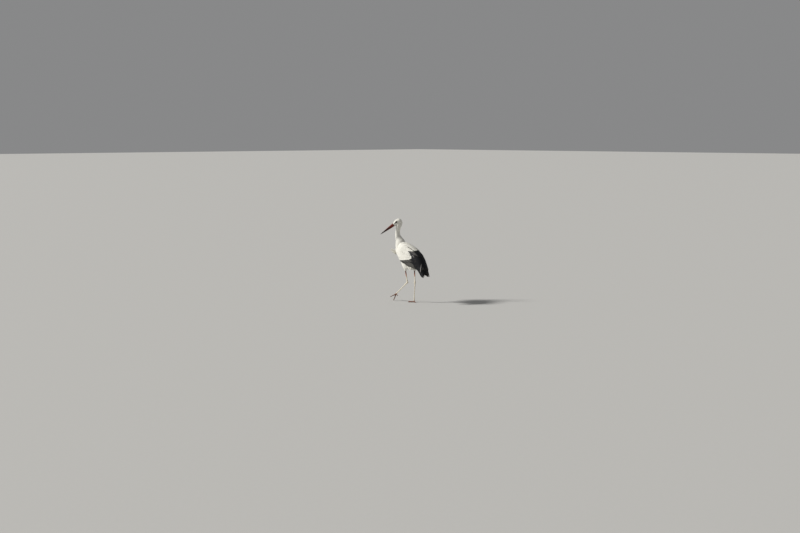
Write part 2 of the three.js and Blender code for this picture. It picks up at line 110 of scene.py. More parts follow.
def arrays_of(names):
    """The joined points and triangles of CAD nodes, and each triangle's node number."""
    points, triangles, owner, count = [], [], [], 0
    for number, name in enumerate(names):
        mesh = nodes[name].data
        mesh.calc_loop_triangles()
        co = np.empty(len(mesh.vertices) * 3, np.float32)
        mesh.vertices.foreach_get("co", co)
        tri = np.empty(len(mesh.loop_triangles) * 3, np.int32)
        mesh.loop_triangles.foreach_get("vertices", tri)
        points.append(co.reshape(-1, 3).astype(float))
        triangles.append(tri.reshape(-1, 3) + count)
        owner.append(np.full(len(tri) // 3, number))
        count += len(mesh.vertices)
    return np.concatenate(points), np.concatenate(triangles), np.concatenate(owner)


def mesh_from(name, points, quads, triangles=None):
    """A smooth-shaded mesh. Its quads come before its triangles."""
    if triangles is None:
        triangles = np.empty((0, 3), int)
    mesh = bpy.data.meshes.new(name)
    corners = np.concatenate([quads.ravel(), triangles.ravel()]).astype(np.int32)
    starts = np.concatenate([np.arange(len(quads)) * 4, quads.size + np.arange(len(triangles)) * 3])
    mesh.vertices.add(len(points))
    mesh.vertices.foreach_set("co", np.ascontiguousarray(points, np.float32).ravel())
    mesh.loops.add(len(corners))
    mesh.loops.foreach_set("vertex_index", corners)
    mesh.polygons.add(len(starts))
    mesh.polygons.foreach_set("loop_start", starts.astype(np.int32))
    mesh.update(calc_edges=True)
    mesh.polygons.foreach_set("use_smooth", np.ones(len(starts), bool))
    return mesh


def remeshed(points, triangles, voxel):
    """One closed surface of quads round all the solids."""
    mesh = mesh_from("remesh", points, np.empty((0, 4), int), triangles)
    thing = bpy.data.objects.new("remesh", mesh)
    bpy.context.scene.collection.objects.link(thing)
    modifier = thing.modifiers.new("remesh", "REMESH")
    modifier.mode = "VOXEL"
    modifier.voxel_size = voxel
    made = thing.evaluated_get(bpy.context.evaluated_depsgraph_get()).to_mesh()
    co = np.empty(len(made.vertices) * 3, np.float32)
    made.vertices.foreach_get("co", co)
    quads = np.empty(len(made.loops), np.int32)
    made.loops.foreach_get("vertex_index", quads)
    bpy.data.objects.remove(thing)
    return co.reshape(-1, 3).astype(float), quads.reshape(-1, 4)


def edges_of(quads):
    pairs = np.concatenate([quads[:, [k, (k + 1) % 4]] for k in range(4)])
    return np.unique(np.sort(pairs, axis=1), axis=0)


def smoothed(values, edges, rounds):
    """Values at the points, each drawn half way to its neighbours' mean, so many times over."""
    values = np.array(values, float)
    flat = values.reshape(len(values), -1)
    first, second = edges.T
    degree = np.maximum(np.bincount(edges.ravel(), minlength=len(flat)), 1)[:, None]
    for _ in range(rounds):
        total = np.empty_like(flat)
        for axis in range(flat.shape[1]):
            total[:, axis] = np.bincount(first, flat[second, axis], len(flat))
            total[:, axis] += np.bincount(second, flat[first, axis], len(flat))
        flat += 0.5 * (total / degree - flat)
    return flat.reshape(values.shape)


def unit(vectors):
    return vectors / np.maximum(np.linalg.norm(vectors, axis=-1, keepdims=True), 1e-12)


def normals_of(points, quads):
    face = np.cross(points[quads[:, 2]] - points[quads[:, 0]], points[quads[:, 3]] - points[quads[:, 1]])
    total = np.zeros_like(points)
    for k in range(4):
        for axis in range(3):
            total[:, axis] += np.bincount(quads[:, k], face[:, axis], len(points))
    return unit(total)


def loft(rings, closed=True):
    """Points and quads over rings of the same size, and the triangles that close their ends."""
    count, size = rings.shape[:2]
    points = np.concatenate([rings.reshape(-1, 3), rings[[0, -1]].mean(1)])
    here = np.arange(count - 1)[:, None] * size + np.arange(size)
    beside = np.arange(count - 1)[:, None] * size + (np.arange(size) + 1) % size
    quads = np.stack([here, beside, beside + size, here + size], -1).reshape(-1, 4)
    if not closed:
        return points[:-2], quads, np.empty((0, 3), int)
    ring = np.arange(size)
    start = np.stack([ring, np.full(size, count * size), (ring + 1) % size], 1)
    last = (count - 1) * size
    end = np.stack([last + ring, last + (ring + 1) % size, np.full(size, count * size + 1)], 1)
    return points, quads, np.concatenate([start, end])


def add_object(name, mesh, materials, replaced=()):
    thing = bpy.data.objects.new(name, mesh)
    bpy.context.scene.collection.objects.link(thing)
    for material in materials:
        mesh.materials.append(material)
    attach(thing, "root")
    if replaced:
        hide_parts(*replaced)
    return thing


def add_map(mesh, name, per_point):
    """A UV map whose value is known at each point of the mesh."""
    corner = np.empty(len(mesh.loops), np.int32)
    mesh.loops.foreach_get("vertex_index", corner)
    layer = mesh.uv_layers.new(name=name)
    layer.uv.foreach_set("vector", per_point[corner].astype(np.float32).ravel())


def add_values(mesh, name, per_point):
    values = mesh.attributes.new(name, "FLOAT", "POINT")
    values.data.foreach_set("value", np.ascontiguousarray(per_point, np.float32).ravel())


# ---------------------------------------------------------------- materials

WHITE = (0.80, 0.785, 0.725)
# The _SHADE colours are darker tints for a feather's random tone, its barb streaks and its roots. At the
# roots they are partly grey down and partly painted shade where the feathers overlap.
WHITE_SHADE = (0.60, 0.575, 0.50)
BLACK = (0.006, 0.0065, 0.009)
BLACK_SHADE = (0.002, 0.002, 0.003)
SLATE = (0.022, 0.022, 0.023)
SLATE_SHADE = (0.008, 0.008, 0.009)
SLATE_WEB = (0.135, 0.130, 0.118)
# Grey for the outer webs of chosen black feathers: painted sheen where light glints on the glossy black.
SHEEN_GREY = (0.34, 0.32, 0.305)


def slot_of(material):
    """The slot of the feathers that a vane's material is for."""
    return material.name.replace("vane", "feathers")


def new_material(name, colour, roughness):
    material = bpy.data.materials.new(name)
    material.use_nodes = True
    shader = material.node_tree.nodes["Principled BSDF"]
    shader.inputs["Base Color"].default_value = (*colour, 1)
    shader.inputs["Roughness"].default_value = roughness
    return material, material.node_tree, shader


def node_of(tree, kind, **settings):
    node = tree.nodes.new(kind)
    for key, value in settings.items():
        setattr(node, key, value)
    return node


def put(tree, value, socket):
    """Sets a socket, or links another socket to it."""
    if isinstance(value, bpy.types.NodeSocket):
        tree.links.new(value, socket)
    elif isinstance(value, tuple) and len(value) == 3 and socket.type == "RGBA":
        socket.default_value = (*value, 1)
    else:
        socket.default_value = value


def maths(tree, operation, first, second=0.0):
    node = node_of(tree, "ShaderNodeMath", operation=operation)
    put(tree, first, node.inputs[0])
    put(tree, second, node.inputs[1])
    return node.outputs[0]


def times(tree, first, second):
    return maths(tree, "MULTIPLY", first, second)


def mixed(tree, factor, first, second):
    node = node_of(tree, "ShaderNodeMix", data_type="RGBA")
    put(tree, factor, node.inputs[0])
    put(tree, first, node.inputs[6])
    put(tree, second, node.inputs[7])
    return node.outputs[2]


def ramp(tree, value, low, high):
    """0 below low, 1 above high and smooth between."""
    node = node_of(tree, "ShaderNodeMapRange", interpolation_type="SMOOTHSTEP")
    for given, socket in zip((value, low, high), node.inputs):
        put(tree, given, socket)
    return node.outputs[0]


def attribute(tree, name):
    return node_of(tree, "ShaderNodeAttribute", attribute_name=name).outputs["Fac"]


def noise(tree, place, scale, detail=2.0):
    node = node_of(tree, "ShaderNodeTexNoise")
    put(tree, place, node.inputs["Vector"])
    node.inputs["Scale"].default_value = scale
    node.inputs["Detail"].default_value = detail
    return node.outputs["Fac"]


def place_of(tree):
    return node_of(tree, "ShaderNodeTexCoord").outputs["Object"]


def add_bump(tree, shader, height, depth):
    node = node_of(tree, "ShaderNodeBump")
    node.inputs["Strength"].default_value = 1.0
    node.inputs["Distance"].default_value = depth
    put(tree, height, node.inputs["Height"])
    tree.links.new(node.outputs["Normal"], shader.inputs["Normal"])


def barbs(tree):
    """Fine slanting barbs on both webs of a vane, and the place across it, in centimetres."""
    vane = node_of(tree, "ShaderNodeUVMap", uv_map="Vane").outputs["UV"]
    parts = node_of(tree, "ShaderNodeSeparateXYZ")
    tree.links.new(vane, parts.inputs[0])
    across, along = parts.outputs[0], parts.outputs[1]
    slanted = maths(tree, "SUBTRACT", along, times(tree, maths(tree, "ABSOLUTE", across), 1.3))
    place = node_of(tree, "ShaderNodeCombineXYZ")
    put(tree, times(tree, slanted, 11.0), place.inputs[0])
    put(tree, times(tree, across, 0.8), place.inputs[1])
    put(tree, times(tree, attribute(tree, "tone"), 40.0), place.inputs[2])
    return noise(tree, place.outputs[0], 1.0, 3.0), across


def feather_material(name, colour, dark, roughness, fringe=None, grey_web=None, web_tones=(0, 1)):
    """dark tints roots (partly grey down, partly painted shade where feathers overlap) and streaks, fringe
    the tips, and grey_web the web that shows, by its tone (painted sheen on the black feathers).
    """
    material, tree, shader = new_material(name, colour, roughness)
    streak, across = barbs(tree)
    tone, along = attribute(tree, "tone"), attribute(tree, "along")
    shade = mixed(tree, times(tree, tone, 0.22), colour, dark)
    # On the black feathers the grey web is painted sheen; on the slate ones it is their own silver-grey
    # outer web.
    if grey_web:
        outer = times(tree, ramp(tree, across, -0.05, 0.35), ramp(tree, along, 1.0, 0.86))
        outer = times(tree, outer, ramp(tree, tone, *web_tones))
        shade = mixed(tree, outer, shade, grey_web)
    if fringe:
        shade = mixed(tree, times(tree, ramp(tree, along, 0.86, 1.0), 0.8), shade, fringe)
    # Roots darker: partly grey down, partly painted shade where the feathers overlap.
    shade = mixed(tree, times(tree, ramp(tree, along, 0.5, 0.0), 0.8), shade, dark)
    shade = mixed(tree, times(tree, ramp(tree, streak, 0.52, 0.75), 0.35), shade, dark)
    put(tree, shade, shader.inputs["Base Color"])
    shader.inputs["Specular IOR Level"].default_value = 0.25
    add_bump(tree, shader, streak, 0.2 * MM)
    return material


def body_material():
    """The body under its coat, and the bare black skin of the face where it says so; its chin patch is
    partly painted shadow under the jaw.
    """
    material, tree, shader = new_material("body_skin", WHITE_SHADE, 0.75)
    place = place_of(tree)
    down = mixed(tree, noise(tree, place, 60.0), (0.60, 0.575, 0.51), WHITE)
    grain = noise(tree, place, 1100.0, 4.0)
    face = mixed(tree, grain, (0.007, 0.007, 0.008), (0.030, 0.027, 0.026))
    shade = mixed(tree, ramp(tree, attribute(tree, "face"), 0.35, 0.65), down, face)
    put(tree, shade, shader.inputs["Base Color"])
    add_bump(tree, shader, grain, 0.3 * MM)
    return material


def leg_material():
    """Red scaled skin, orange on the shank's bare top but darker at its very top (painted shadow under the
    thigh feathers), and brown on the feet, under a chalky film.
    """
    material, tree, shader = new_material("leg_skin", (0.45, 0.17, 0.09), 0.6)
    place = place_of(tree)
    limb, scale = attribute(tree, "limb"), attribute(tree, "scute")
    patch = noise(tree, place, 55.0, 4.0)
    fine = noise(tree, place, 420.0, 3.0)
    # Dark red just under the thigh feathers: painted shadow.
    red = mixed(tree, ramp(tree, limb, 0.12, 0.26), (0.150, 0.026, 0.014), (0.43, 0.125, 0.045))
    red = mixed(tree, ramp(tree, limb, 0.30, 1.0), red, (0.42, 0.19, 0.12))
    red = mixed(tree, ramp(tree, limb, 1.86, 2.06), red, (0.150, 0.052, 0.028))
    film_share = times(tree, ramp(tree, limb, 0.28, 0.62), ramp(tree, limb, 2.04, 1.84))
    film = times(tree, film_share, ramp(tree, patch, 0.12, 0.42))
    film = times(tree, film, ramp(tree, scale, -0.9, 0.55))
    shade = mixed(tree, film, red, (0.86, 0.82, 0.67))
    dust = times(tree, ramp(tree, limb, 2.0, 2.1), ramp(tree, fine, 0.5, 0.8))
    shade = mixed(tree, times(tree, dust, 0.5), shade, (0.34, 0.25, 0.17))
    groove = times(tree, ramp(tree, scale, 0.35, 0.0), 0.38)
    shade = mixed(tree, groove, shade, (0.13, 0.05, 0.03))
    put(tree, shade, shader.inputs["Base Color"])
    add_bump(tree, shader, fine, 0.25 * MM)
    return material


def bill_material():
    """Dark red horn, blackish along the sides towards the tip and along the gape, brighter on the ridges:
    partly the bill's own dark smudges, partly painted shade on the sides.
    """
    material, tree, shader = new_material("bill_horn", (0.36, 0.05, 0.02), 0.36)
    along, rise = attribute(tree, "along"), attribute(tree, "rise")
    place = place_of(tree)
    grain = noise(tree, place, 160.0, 5.0)
    red = mixed(tree, ramp(tree, grain, 0.3, 0.7), (0.105, 0.014, 0.007), (0.19, 0.026, 0.011))
    # Blackish sides towards the tip, brighter ridges: partly the bill's own dark smudges, partly painted
    # shade.
    side = maths(tree, "MAXIMUM", ramp(tree, rise, 0.93, 0.45), ramp(tree, along, 0.45, 0.75))
    dark = times(tree, ramp(tree, along, 0.12, 0.52), side)
    dark = times(tree, dark, ramp(tree, grain, 0.10, 0.50))
    shade = mixed(tree, dark, red, (0.013, 0.004, 0.003))
    shade = mixed(tree, times(tree, ramp(tree, along, 0.09, 0.0), 0.8), shade, (0.055, 0.012, 0.009))
    # The gape line is darkest: painted shade between the mandibles.
    shade = mixed(tree, ramp(tree, rise, 0.05, 0.0), shade, (0.05, 0.012, 0.009))
    put(tree, shade, shader.inputs["Base Color"])
    put(tree, mixed(tree, grain, (0.40,) * 3, (0.56,) * 3), shader.inputs["Roughness"])
    shader.inputs["Specular IOR Level"].default_value = 0.2
    stretched = node_of(tree, "ShaderNodeCombineXYZ")
    put(tree, times(tree, along, 6.0), stretched.inputs[0])
    put(tree, times(tree, rise, 14.0), stretched.inputs[1])
    add_bump(tree, shader, noise(tree, stretched.outputs[0], 3.0, 4.0), 0.25 * MM)
    return material


def claw_material():
    material, tree, shader = new_material("claw_horn", (0.05, 0.035, 0.03), 0.4)
    grain = noise(tree, place_of(tree), 500.0, 3.0)
    put(tree, mixed(tree, grain, (0.03, 0.02, 0.018), (0.12, 0.08, 0.06)), shader.inputs["Base Color"])
    add_bump(tree, shader, grain, 0.2 * MM)
    return material


def eye_material():
    """A black pupil in a dark brown iris, under a clear coat."""
    material, tree, shader = new_material("eye_ball", (0.02, 0.01, 0.007), 0.12)
    ring = attribute(tree, "ring")
    grain = noise(tree, place_of(tree), 1500.0, 3.0)
    iris = mixed(tree, grain, (0.010, 0.005, 0.003), (0.032, 0.015, 0.008))
    shade = mixed(tree, ramp(tree, ring, 0.33, 0.37), (0.0012, 0.0012, 0.0012), iris)
    shade = mixed(tree, ramp(tree, ring, 0.72, 0.90), shade, (0.006, 0.005, 0.005))
    put(tree, shade, shader.inputs["Base Color"])
    shader.inputs["Specular IOR Level"].default_value = 0.1
    shader.inputs["Coat Weight"].default_value = 0.7
    shader.inputs["Coat Roughness"].default_value = 0.02
    return material


# ---------------------------------------------------------------- the head's own directions

BILL_ROOT = np.array((60.0, -258.0, 836.0)) * MM  # middle of the bill's base
HEAD_YAW = math.radians(46)
BILL_PITCH = math.radians(36)
HEAD_LEFT = np.array((math.cos(HEAD_YAW), math.sin(HEAD_YAW), 0.0))
HEAD_BACK = np.array((
    -math.sin(HEAD_YAW) * math.cos(BILL_PITCH),
    math.cos(HEAD_YAW) * math.cos(BILL_PITCH),
    math.sin(BILL_PITCH),
))
HEAD_UP = np.cross(HEAD_LEFT, HEAD_BACK)

# Millimetres behind the bill's base, above its line and out from the head's middle plane.
EYE_BACK, EYE_RISE, EYE_OUT = 43.0, 8.0, 16.6
EYE_RADIUS = 8.0
FACE_EDGE = 1.6  # how softly the bare skin's edge turns into the coat's, in millimetres

# The bare skin's reach from the eye to the bill and to the back, half its height there, and how
# steeply it slopes down to the bill.
FACE_AHEAD, FACE_BEHIND, FACE_HALF_HEIGHT, FACE_SLOPE = 43.0, 12.5, 9.4, 0.13
# The bare black chin is an oval, partly the real black gular skin and partly painted shadow under the jaw:
# its middle as above, its half length and width, and its direction.
CHIN_BACK, CHIN_RISE, CHIN_HALF_LENGTH, CHIN_HALF_WIDTH = 14, -21, 16, 5.0
CHIN_DOWN = (0.79, 0.61)


def head_point(back, rise, left=0.0):
    """A point so many millimetres behind the bill's base, above its line and to the left."""
    back, rise, left = np.broadcast_arrays(back, rise, left)
    place = back[..., None] * HEAD_BACK + rise[..., None] * HEAD_UP + left[..., None] * HEAD_LEFT
    return BILL_ROOT + place * MM


def in_head(points):
    """Millimetres behind the bill's base, above its line and to the left, for each point."""
    away = (points - BILL_ROOT) / MM
    return away @ HEAD_BACK, away @ HEAD_UP, away @ HEAD_LEFT


def face_share(points, margin=0.0):
    """1 on the bare black skin round the eyes and on the chin patch, which is partly painted shadow under
    the jaw, 0 elsewhere, and a soft edge.
    """
    back, rise, left = in_head(points)
    u, v = back - EYE_BACK, rise - EYE_RISE
    v = v - FACE_SLOPE * np.minimum(u, 0)
    reach = np.where(u < 0, FACE_AHEAD, FACE_BEHIND) + margin
    tall = (FACE_HALF_HEIGHT + margin) * (1 - np.clip(np.abs(u) / reach, 0, 1) ** np.where(u < 0, 0.9, 2.2))
    inside = np.minimum(np.minimum(tall - np.abs(v), reach - np.abs(u)), np.abs(left) - 7)
    # The chin oval: partly black gular skin, partly painted shadow under the jaw.
    cosine, sine = CHIN_DOWN
    away, over = back - CHIN_BACK, rise - CHIN_RISE
    along, across = cosine * away - sine * over, sine * away + cosine * over
    oval = np.sqrt((along / CHIN_HALF_LENGTH) ** 2 + (across / CHIN_HALF_WIDTH) ** 2)
    chin = CHIN_HALF_WIDTH + margin - CHIN_HALF_WIDTH * oval
    return np.clip(0.5 + np.maximum(inside, chin) / FACE_EDGE, 0, 1)


# ---------------------------------------------------------------- skin

BODY_VOXEL = 3 * MM
HEAD_VOXEL = 1.3 * MM
LEG_VOXEL = 0.95 * MM
HEAD_JOIN = 795 * MM  # the height where the neck's fine skin goes into the body's
SKIN_LAP = 6 * MM  # how far the two skins go past it
TUFT_ROOM = 40 * MM  # how far below it the head's tufts can still reach

# Rounds of smoothing: of the skin's shape, of the head's once more at the end, and of the coat's lie.
BODY_ROUNDS, HEAD_ROUNDS, HEAD_LAST_ROUNDS = 26, 40, 45
BODY_LIE_ROUNDS, HEAD_LIE_ROUNDS = 50, 400

# How deep the coat is over each node of flesh, in millimetres.
COAT_DEPTH = {
    "neck_upper": 3.0, "neck_middle": 4.5, "neck_lower": 7.5, "trunk": 9.0, "thigh_left": 6.5,
    "thigh_right": 6.5, "wing_left_scapulars": 10.0, "wing_left_coverts": 9.0,
    "wing_right_scapulars": 10.0, "wing_right_coverts": 9.0,
}
HEAD_DEPTH = {"head": 1.9, "neck_upper": 3.0, "neck_middle": 4.5}
SIDES = ("left", "right")
DIGITS = ("middle", "inner", "outer", "hind")
LEG_NODES = [f"{part}_{side}" for side in SIDES for part in ("tibia", "ankle", "tarsus", "foot")]
LEG_NODES += [f"toe_{side}_{digit}" for side in SIDES for digit in DIGITS]


class Surface:
    """A smooth surface of quads that can be searched for its nearest point."""

    def __init__(self, points, quads, depth, rounds):
        self.points, self.quads, self.depth = points, quads, depth
        self.normals = normals_of(points, quads)
        self.lie = unit(smoothed(lie_at(points)[0], edges_of(quads), rounds))
        self.tree = BVHTree.FromPolygons(points.tolist(), quads.tolist())

    def nearest(self, places):
        """The nearest surface points, their normals, and the coat's depth and lie there."""
        found = [self.tree.find_nearest(Vector(place)) for place in places]
        hit = np.array([row[0] for row in found])
        face = self.quads[[row[2] for row in found]]
        weight = 1 / np.maximum(np.linalg.norm(self.points[face] - hit[:, None], axis=2), 1e-5)
        weight /= weight.sum(1, keepdims=True)
        normal = unit((self.normals[face] * weight[..., None]).sum(1))
        lie = (self.lie[face] * weight[..., None]).sum(1)
        return hit, normal, (self.depth[face] * weight).sum(1), lie


def nearest_owner(points, names):
    """For each point, the number of the node in names that it is nearest to."""
    co, triangles, owner = arrays_of(names)
    tree = BVHTree.FromPolygons(co.tolist(), triangles.tolist())
    return owner[[tree.find_nearest(Vector(point))[2] for point in points]]


def shrunk_skin(depths, voxel, rounds, last_rounds=3):
    """One skin round the named nodes, as deep under them as the coat is there."""
    names = list(depths)
    co, triangles, _ = arrays_of(names)
    points, quads = remeshed(co, triangles, voxel)
    edges = edges_of(quads)
    owner = nearest_owner(points, names)
    depth = smoothed(np.array([depths[name] * MM for name in names])[owner], edges, 25)
    raw, points = points, smoothed(points, edges, rounds)
    normals = unit(smoothed(normals_of(points, quads), edges, 10))
    lost = smoothed(((raw - points) * normals).sum(1), edges, rounds)
    points = smoothed(points + normals * (lost - depth)[:, None], edges, last_rounds)
    return points, quads, depth, np.array(names)[owner]


def kept_part(points, quads, keep, *others):
    """The quads whose points are all kept, with their points numbered anew."""
    quads = quads[keep[quads].all(1)]
    used = np.unique(quads)
    number = np.zeros(len(points), int)
    number[used] = np.arange(len(used))
    return points[used], number[quads], *(other[used] for other in others)


def swell(amount, away, width, over, height):
    """A smooth swelling of the skin, so high in its middle and so wide either way."""
    return amount * np.exp(-((away / width) ** 2) - (over / height) ** 2)


def shape_head(points, normals):
    """Hollows the lores, raises the brows and rounds the throat, the nape and the crown."""
    back, rise, left = in_head(points)
    u, v = back - EYE_BACK, rise - EYE_RISE
    side = np.abs(left) > 6
    lores = swell(-1.3, u + 15, 8, v + 3, 4)
    brow = swell(1.1, u, 10, v - 9.5, 2.6)
    socket = swell(-0.3, u, 9, v, 7)
    throat = swell(4.0, back - CHIN_BACK, 11, rise - CHIN_RISE, 9) * np.exp(-((left / 11) ** 2))
    nape = swell(3.5, back - 77, 9, rise + 48, 11)
    crown = swell(1.8, back - 94, 13, rise - 2, 13)
    out = (lores + brow + socket) * side + throat + nape + crown
    return points + normals * (out * MM)[:, None]


# ---------------------------------------------------------------- legs

# Places in millimetres. A toe turns from straight ahead towards the bird's left, and slopes down
# by its two angles at its root and at its end.
LEGS = {
    "left": {
        "hip": (42, -101, 410), "knee": (45, -86, 338), "ankle": (45, -59, 218),
        "joint": (60, -222, 76),
        "toes": {"middle": (82, 4, 68, 60), "inner": (60, -30, 38, 30),
                 "outer": (66, 38, 30, 24), "hind": (32, 172, 22, 34)},
    },
    "right": {
        "hip": (-27, -24, 410), "knee": (-8, -1, 342), "ankle": (-4, 9, 219),
        "joint": (0, 0, 8.5),
        "toes": {"middle": (82, 2, 8, 4), "inner": (60, 40, 8, 4),
                 "outer": (66, -42, 8, 4), "hind": (32, 166, 12, 6)},
    },
}
TOE_RADIUS, TOE_TIP_RADIUS, TOE_FLATNESS = 6.2, 4.2, 0.78
CLAW_LENGTH, CLAW_INSET = 10.0, 4.0
SCUTE = 3.7  # the width of a scale round a shank, in millimetres
TOE_SCUTE = 3.0


def toe_path(joint, toe, share):
    """Places along a toe's middle, by shares of its length."""
    length, turn, steep, flat = toe
    yaw = math.radians(turn)
    pitch = np.radians(steep + (flat - steep) * share / 2)
    radius = TOE_RADIUS + (TOE_TIP_RADIUS - TOE_RADIUS) * np.clip(share, 0, 1)
    reach = share * length * np.cos(pitch)
    height = np.maximum(joint[2] - share * length * np.sin(pitch), radius * TOE_FLATNESS)
    return np.stack([joint[0] + math.sin(yaw) * reach, joint[1] - math.cos(yaw) * reach, height], -1)


def limb_samples():
    """Samples along every shank and toe: place, direction, limb value and distance along."""
    rows = []
    share = np.linspace(0, 1, 60)
    for leg in LEGS.values():
        stretches = [(np.array(leg[a]), np.array(leg[b]), start) for a, b, start in
                     (("hip", "knee", -1.0), ("knee", "ankle", 0.0), ("ankle", "joint", 1.0))]
        lines = [(a + (b - a) * share[:, None], start + share) for a, b, start in stretches]
        lines += [(toe_path(leg["joint"], toe, share), 2 + share) for toe in leg["toes"].values()]
        for line, limb in lines:
            ahead = unit(np.gradient(line, axis=0))
            gone = np.concatenate([[0], np.cumsum(np.linalg.norm(np.diff(line, axis=0), axis=1))])
            rows.append(np.column_stack([line, ahead, limb, gone]))
    return np.concatenate(rows)


def scutes(points, normals):
    """How far each leg point stands up as part of a scale, 0 to 1, and its limb value."""
    samples = limb_samples()
    height, limb = [], []
    for some, out in zip(np.array_split(points / MM, 40), np.array_split(normals, 40)):
        gap = ((some[:, None] - samples[None, :, :3]) ** 2).sum(2)
        near = samples[gap.argmin(1)]
        away, ahead = some - near[:, :3], near[:, 3:6]
        gone = near[:, 7] + (away * ahead).sum(1)
        side = unit(np.cross(ahead, np.array((0.31, 0.2, 0.93))))
        above = np.cross(side, ahead)
        turn = np.arctan2((away * side).sum(1), (away * above).sum(1))
        u, v = 10 * turn / (2 * math.pi), gone / SCUTE
        cells = np.cos(2 * math.pi * u)
        for lean in (0.5, -0.5):
            cells = cells + np.cos(2 * math.pi * (lean * u + 0.866 * v))
        reticulate = np.clip((cells / 3 + 0.28) / 0.62, 0, 1)
        band = np.clip(1.25 - np.abs((gone / TOE_SCUTE) % 1 - 0.5) * 2.5, 0, 1) ** 0.6
        on_top = np.clip(out[:, 2] * 2, 0, 1)
        toe = np.clip((near[:, 6] - 2.0) * 8, 0, 1)
        height.append(reticulate * (1 - toe) + toe * (band * on_top + reticulate * (1 - on_top)))
        limb.append(near[:, 6])
    return np.concatenate(height), np.concatenate(limb)


def make_leg_skin():
    """The bare shanks, feet and toes with scales, and their stumps up inside the thighs."""
    co, triangles, _ = arrays_of(LEG_NODES)
    for leg in LEGS.values():
        hip, knee, ankle = (np.array(leg[word], float) for word in ("hip", "knee", "ankle"))
        line = np.stack([hip, hip * 0.5 + knee * 0.5, knee, knee * 0.9 + ankle * 0.1])
        turn = np.linspace(0, 2 * math.pi, 12, endpoint=False)[None, :, None]
        radius = np.array([15.0, 9.0, 6.8, 6.2])[:, None, None]
        ring = np.cos(turn) * np.array((1.0, 0, 0)) - np.sin(turn) * np.array((0, 1.0, 0))
        stump, quads, ends = loft((line[:, None] + ring * radius) * MM)
        halves = np.concatenate([quads[:, [0, 1, 2]], quads[:, [0, 2, 3]], ends])
        triangles = np.concatenate([triangles, halves + len(co)])
        co = np.concatenate([co, stump])
    points, quads = remeshed(co, triangles, LEG_VOXEL)
    edges = edges_of(quads)
    points = smoothed(points, edges, 12)
    normals = normals_of(points, quads)
    height, limb = scutes(points, normals)
    points = points + normals * ((height - 0.5) * 0.45 * MM)[:, None]
    points[:, 2] = np.maximum(points[:, 2], 0.0)
    return points, quads, height, limb


# ---------------------------------------------------------------- lids

LID_STEPS, LID_RINGS = 56, 12


def eye_frame(side):
    """The eyeball's middle, and its outward, backward and upward directions."""
    centre = head_point(EYE_BACK, EYE_RISE, side * EYE_OUT)
    out = unit(side * HEAD_LEFT - 0.10 * HEAD_BACK)
    back = unit(HEAD_BACK - (HEAD_BACK @ out) * out)
    return centre, out, back, np.cross(out, back) * np.sign(np.cross(out, back) @ HEAD_UP)


def lid_rings(side):
    """Rings round the eye, from inside the slit over the lids' rims and down into the skin."""
    centre, out, back, up = eye_frame(side)
    turn = np.linspace(0, 2 * math.pi, LID_STEPS, endpoint=False)
    slit = np.radians(41 + 11 * np.abs(np.cos(turn)) ** 3 - 4 * np.clip(np.sin(turn), 0, 1))
    rings = []
    for k in range(LID_RINGS):
        s = k / (LID_RINGS - 1)
        angle = slit + (math.radians(84) - slit) * max(0.0, s - 0.08) / 0.92
        bulge = math.sin(math.pi * min(1.0, s / 0.55)) * 0.45 - 0.9 * max(0.0, s - 0.45) ** 1.2
        fold = 0.07 * math.sin(s * 17)
        radius = (EYE_RADIUS + (-0.35 if k == 0 else 0.18 + bulge + fold)) * MM
        flat = np.cos(turn)[:, None] * back + np.sin(turn)[:, None] * up
        rings.append(centre + radius * (np.cos(angle)[:, None] * out + np.sin(angle)[:, None] * flat))
    rings = np.array(rings)
    return rings if side < 0 else rings[:, ::-1]


def add_eye(side, word, material):
    centre, out, back, up = eye_frame(side)
    angle = np.linspace(0.02, math.pi * 0.62, 36)
    turn = np.linspace(0, 2 * math.pi, 48, endpoint=False)
    radius = (EYE_RADIUS + 0.45 * np.exp(-((angle / 0.55) ** 2))) * MM
    flat = np.cos(turn)[:, None] * back + np.sin(turn)[:, None] * up
    rings = np.cos(angle)[:, None, None] * out + np.sin(angle)[:, None, None] * flat[None]
    rings = centre + radius[:, None, None] * rings
    points, quads, ends = loft(rings if side < 0 else rings[:, ::-1])
    mesh = mesh_from(f"eyeball_{word}", points, quads[:, ::-1], ends[:, ::-1])
    add_values(mesh, "ring", np.concatenate([np.repeat(angle, 48), [0, angle[-1]]]))
    add_object(f"eyeball_{word}", mesh, [material], [f"eye_{word}"])


# ---------------------------------------------------------------- bill

BILL_LENGTH, LOWER_SHORTER, BILL_INSET = 180.0, 3.0, 5.0
BILL_FULLNESS = 1.4  # above 1, the bill's depth holds out further from the base
BILL_RINGS, BILL_SIDES = 90, 28
BILL_HALF_WIDTH, BILL_TIP_HALF_WIDTH = 12.0, 1.4


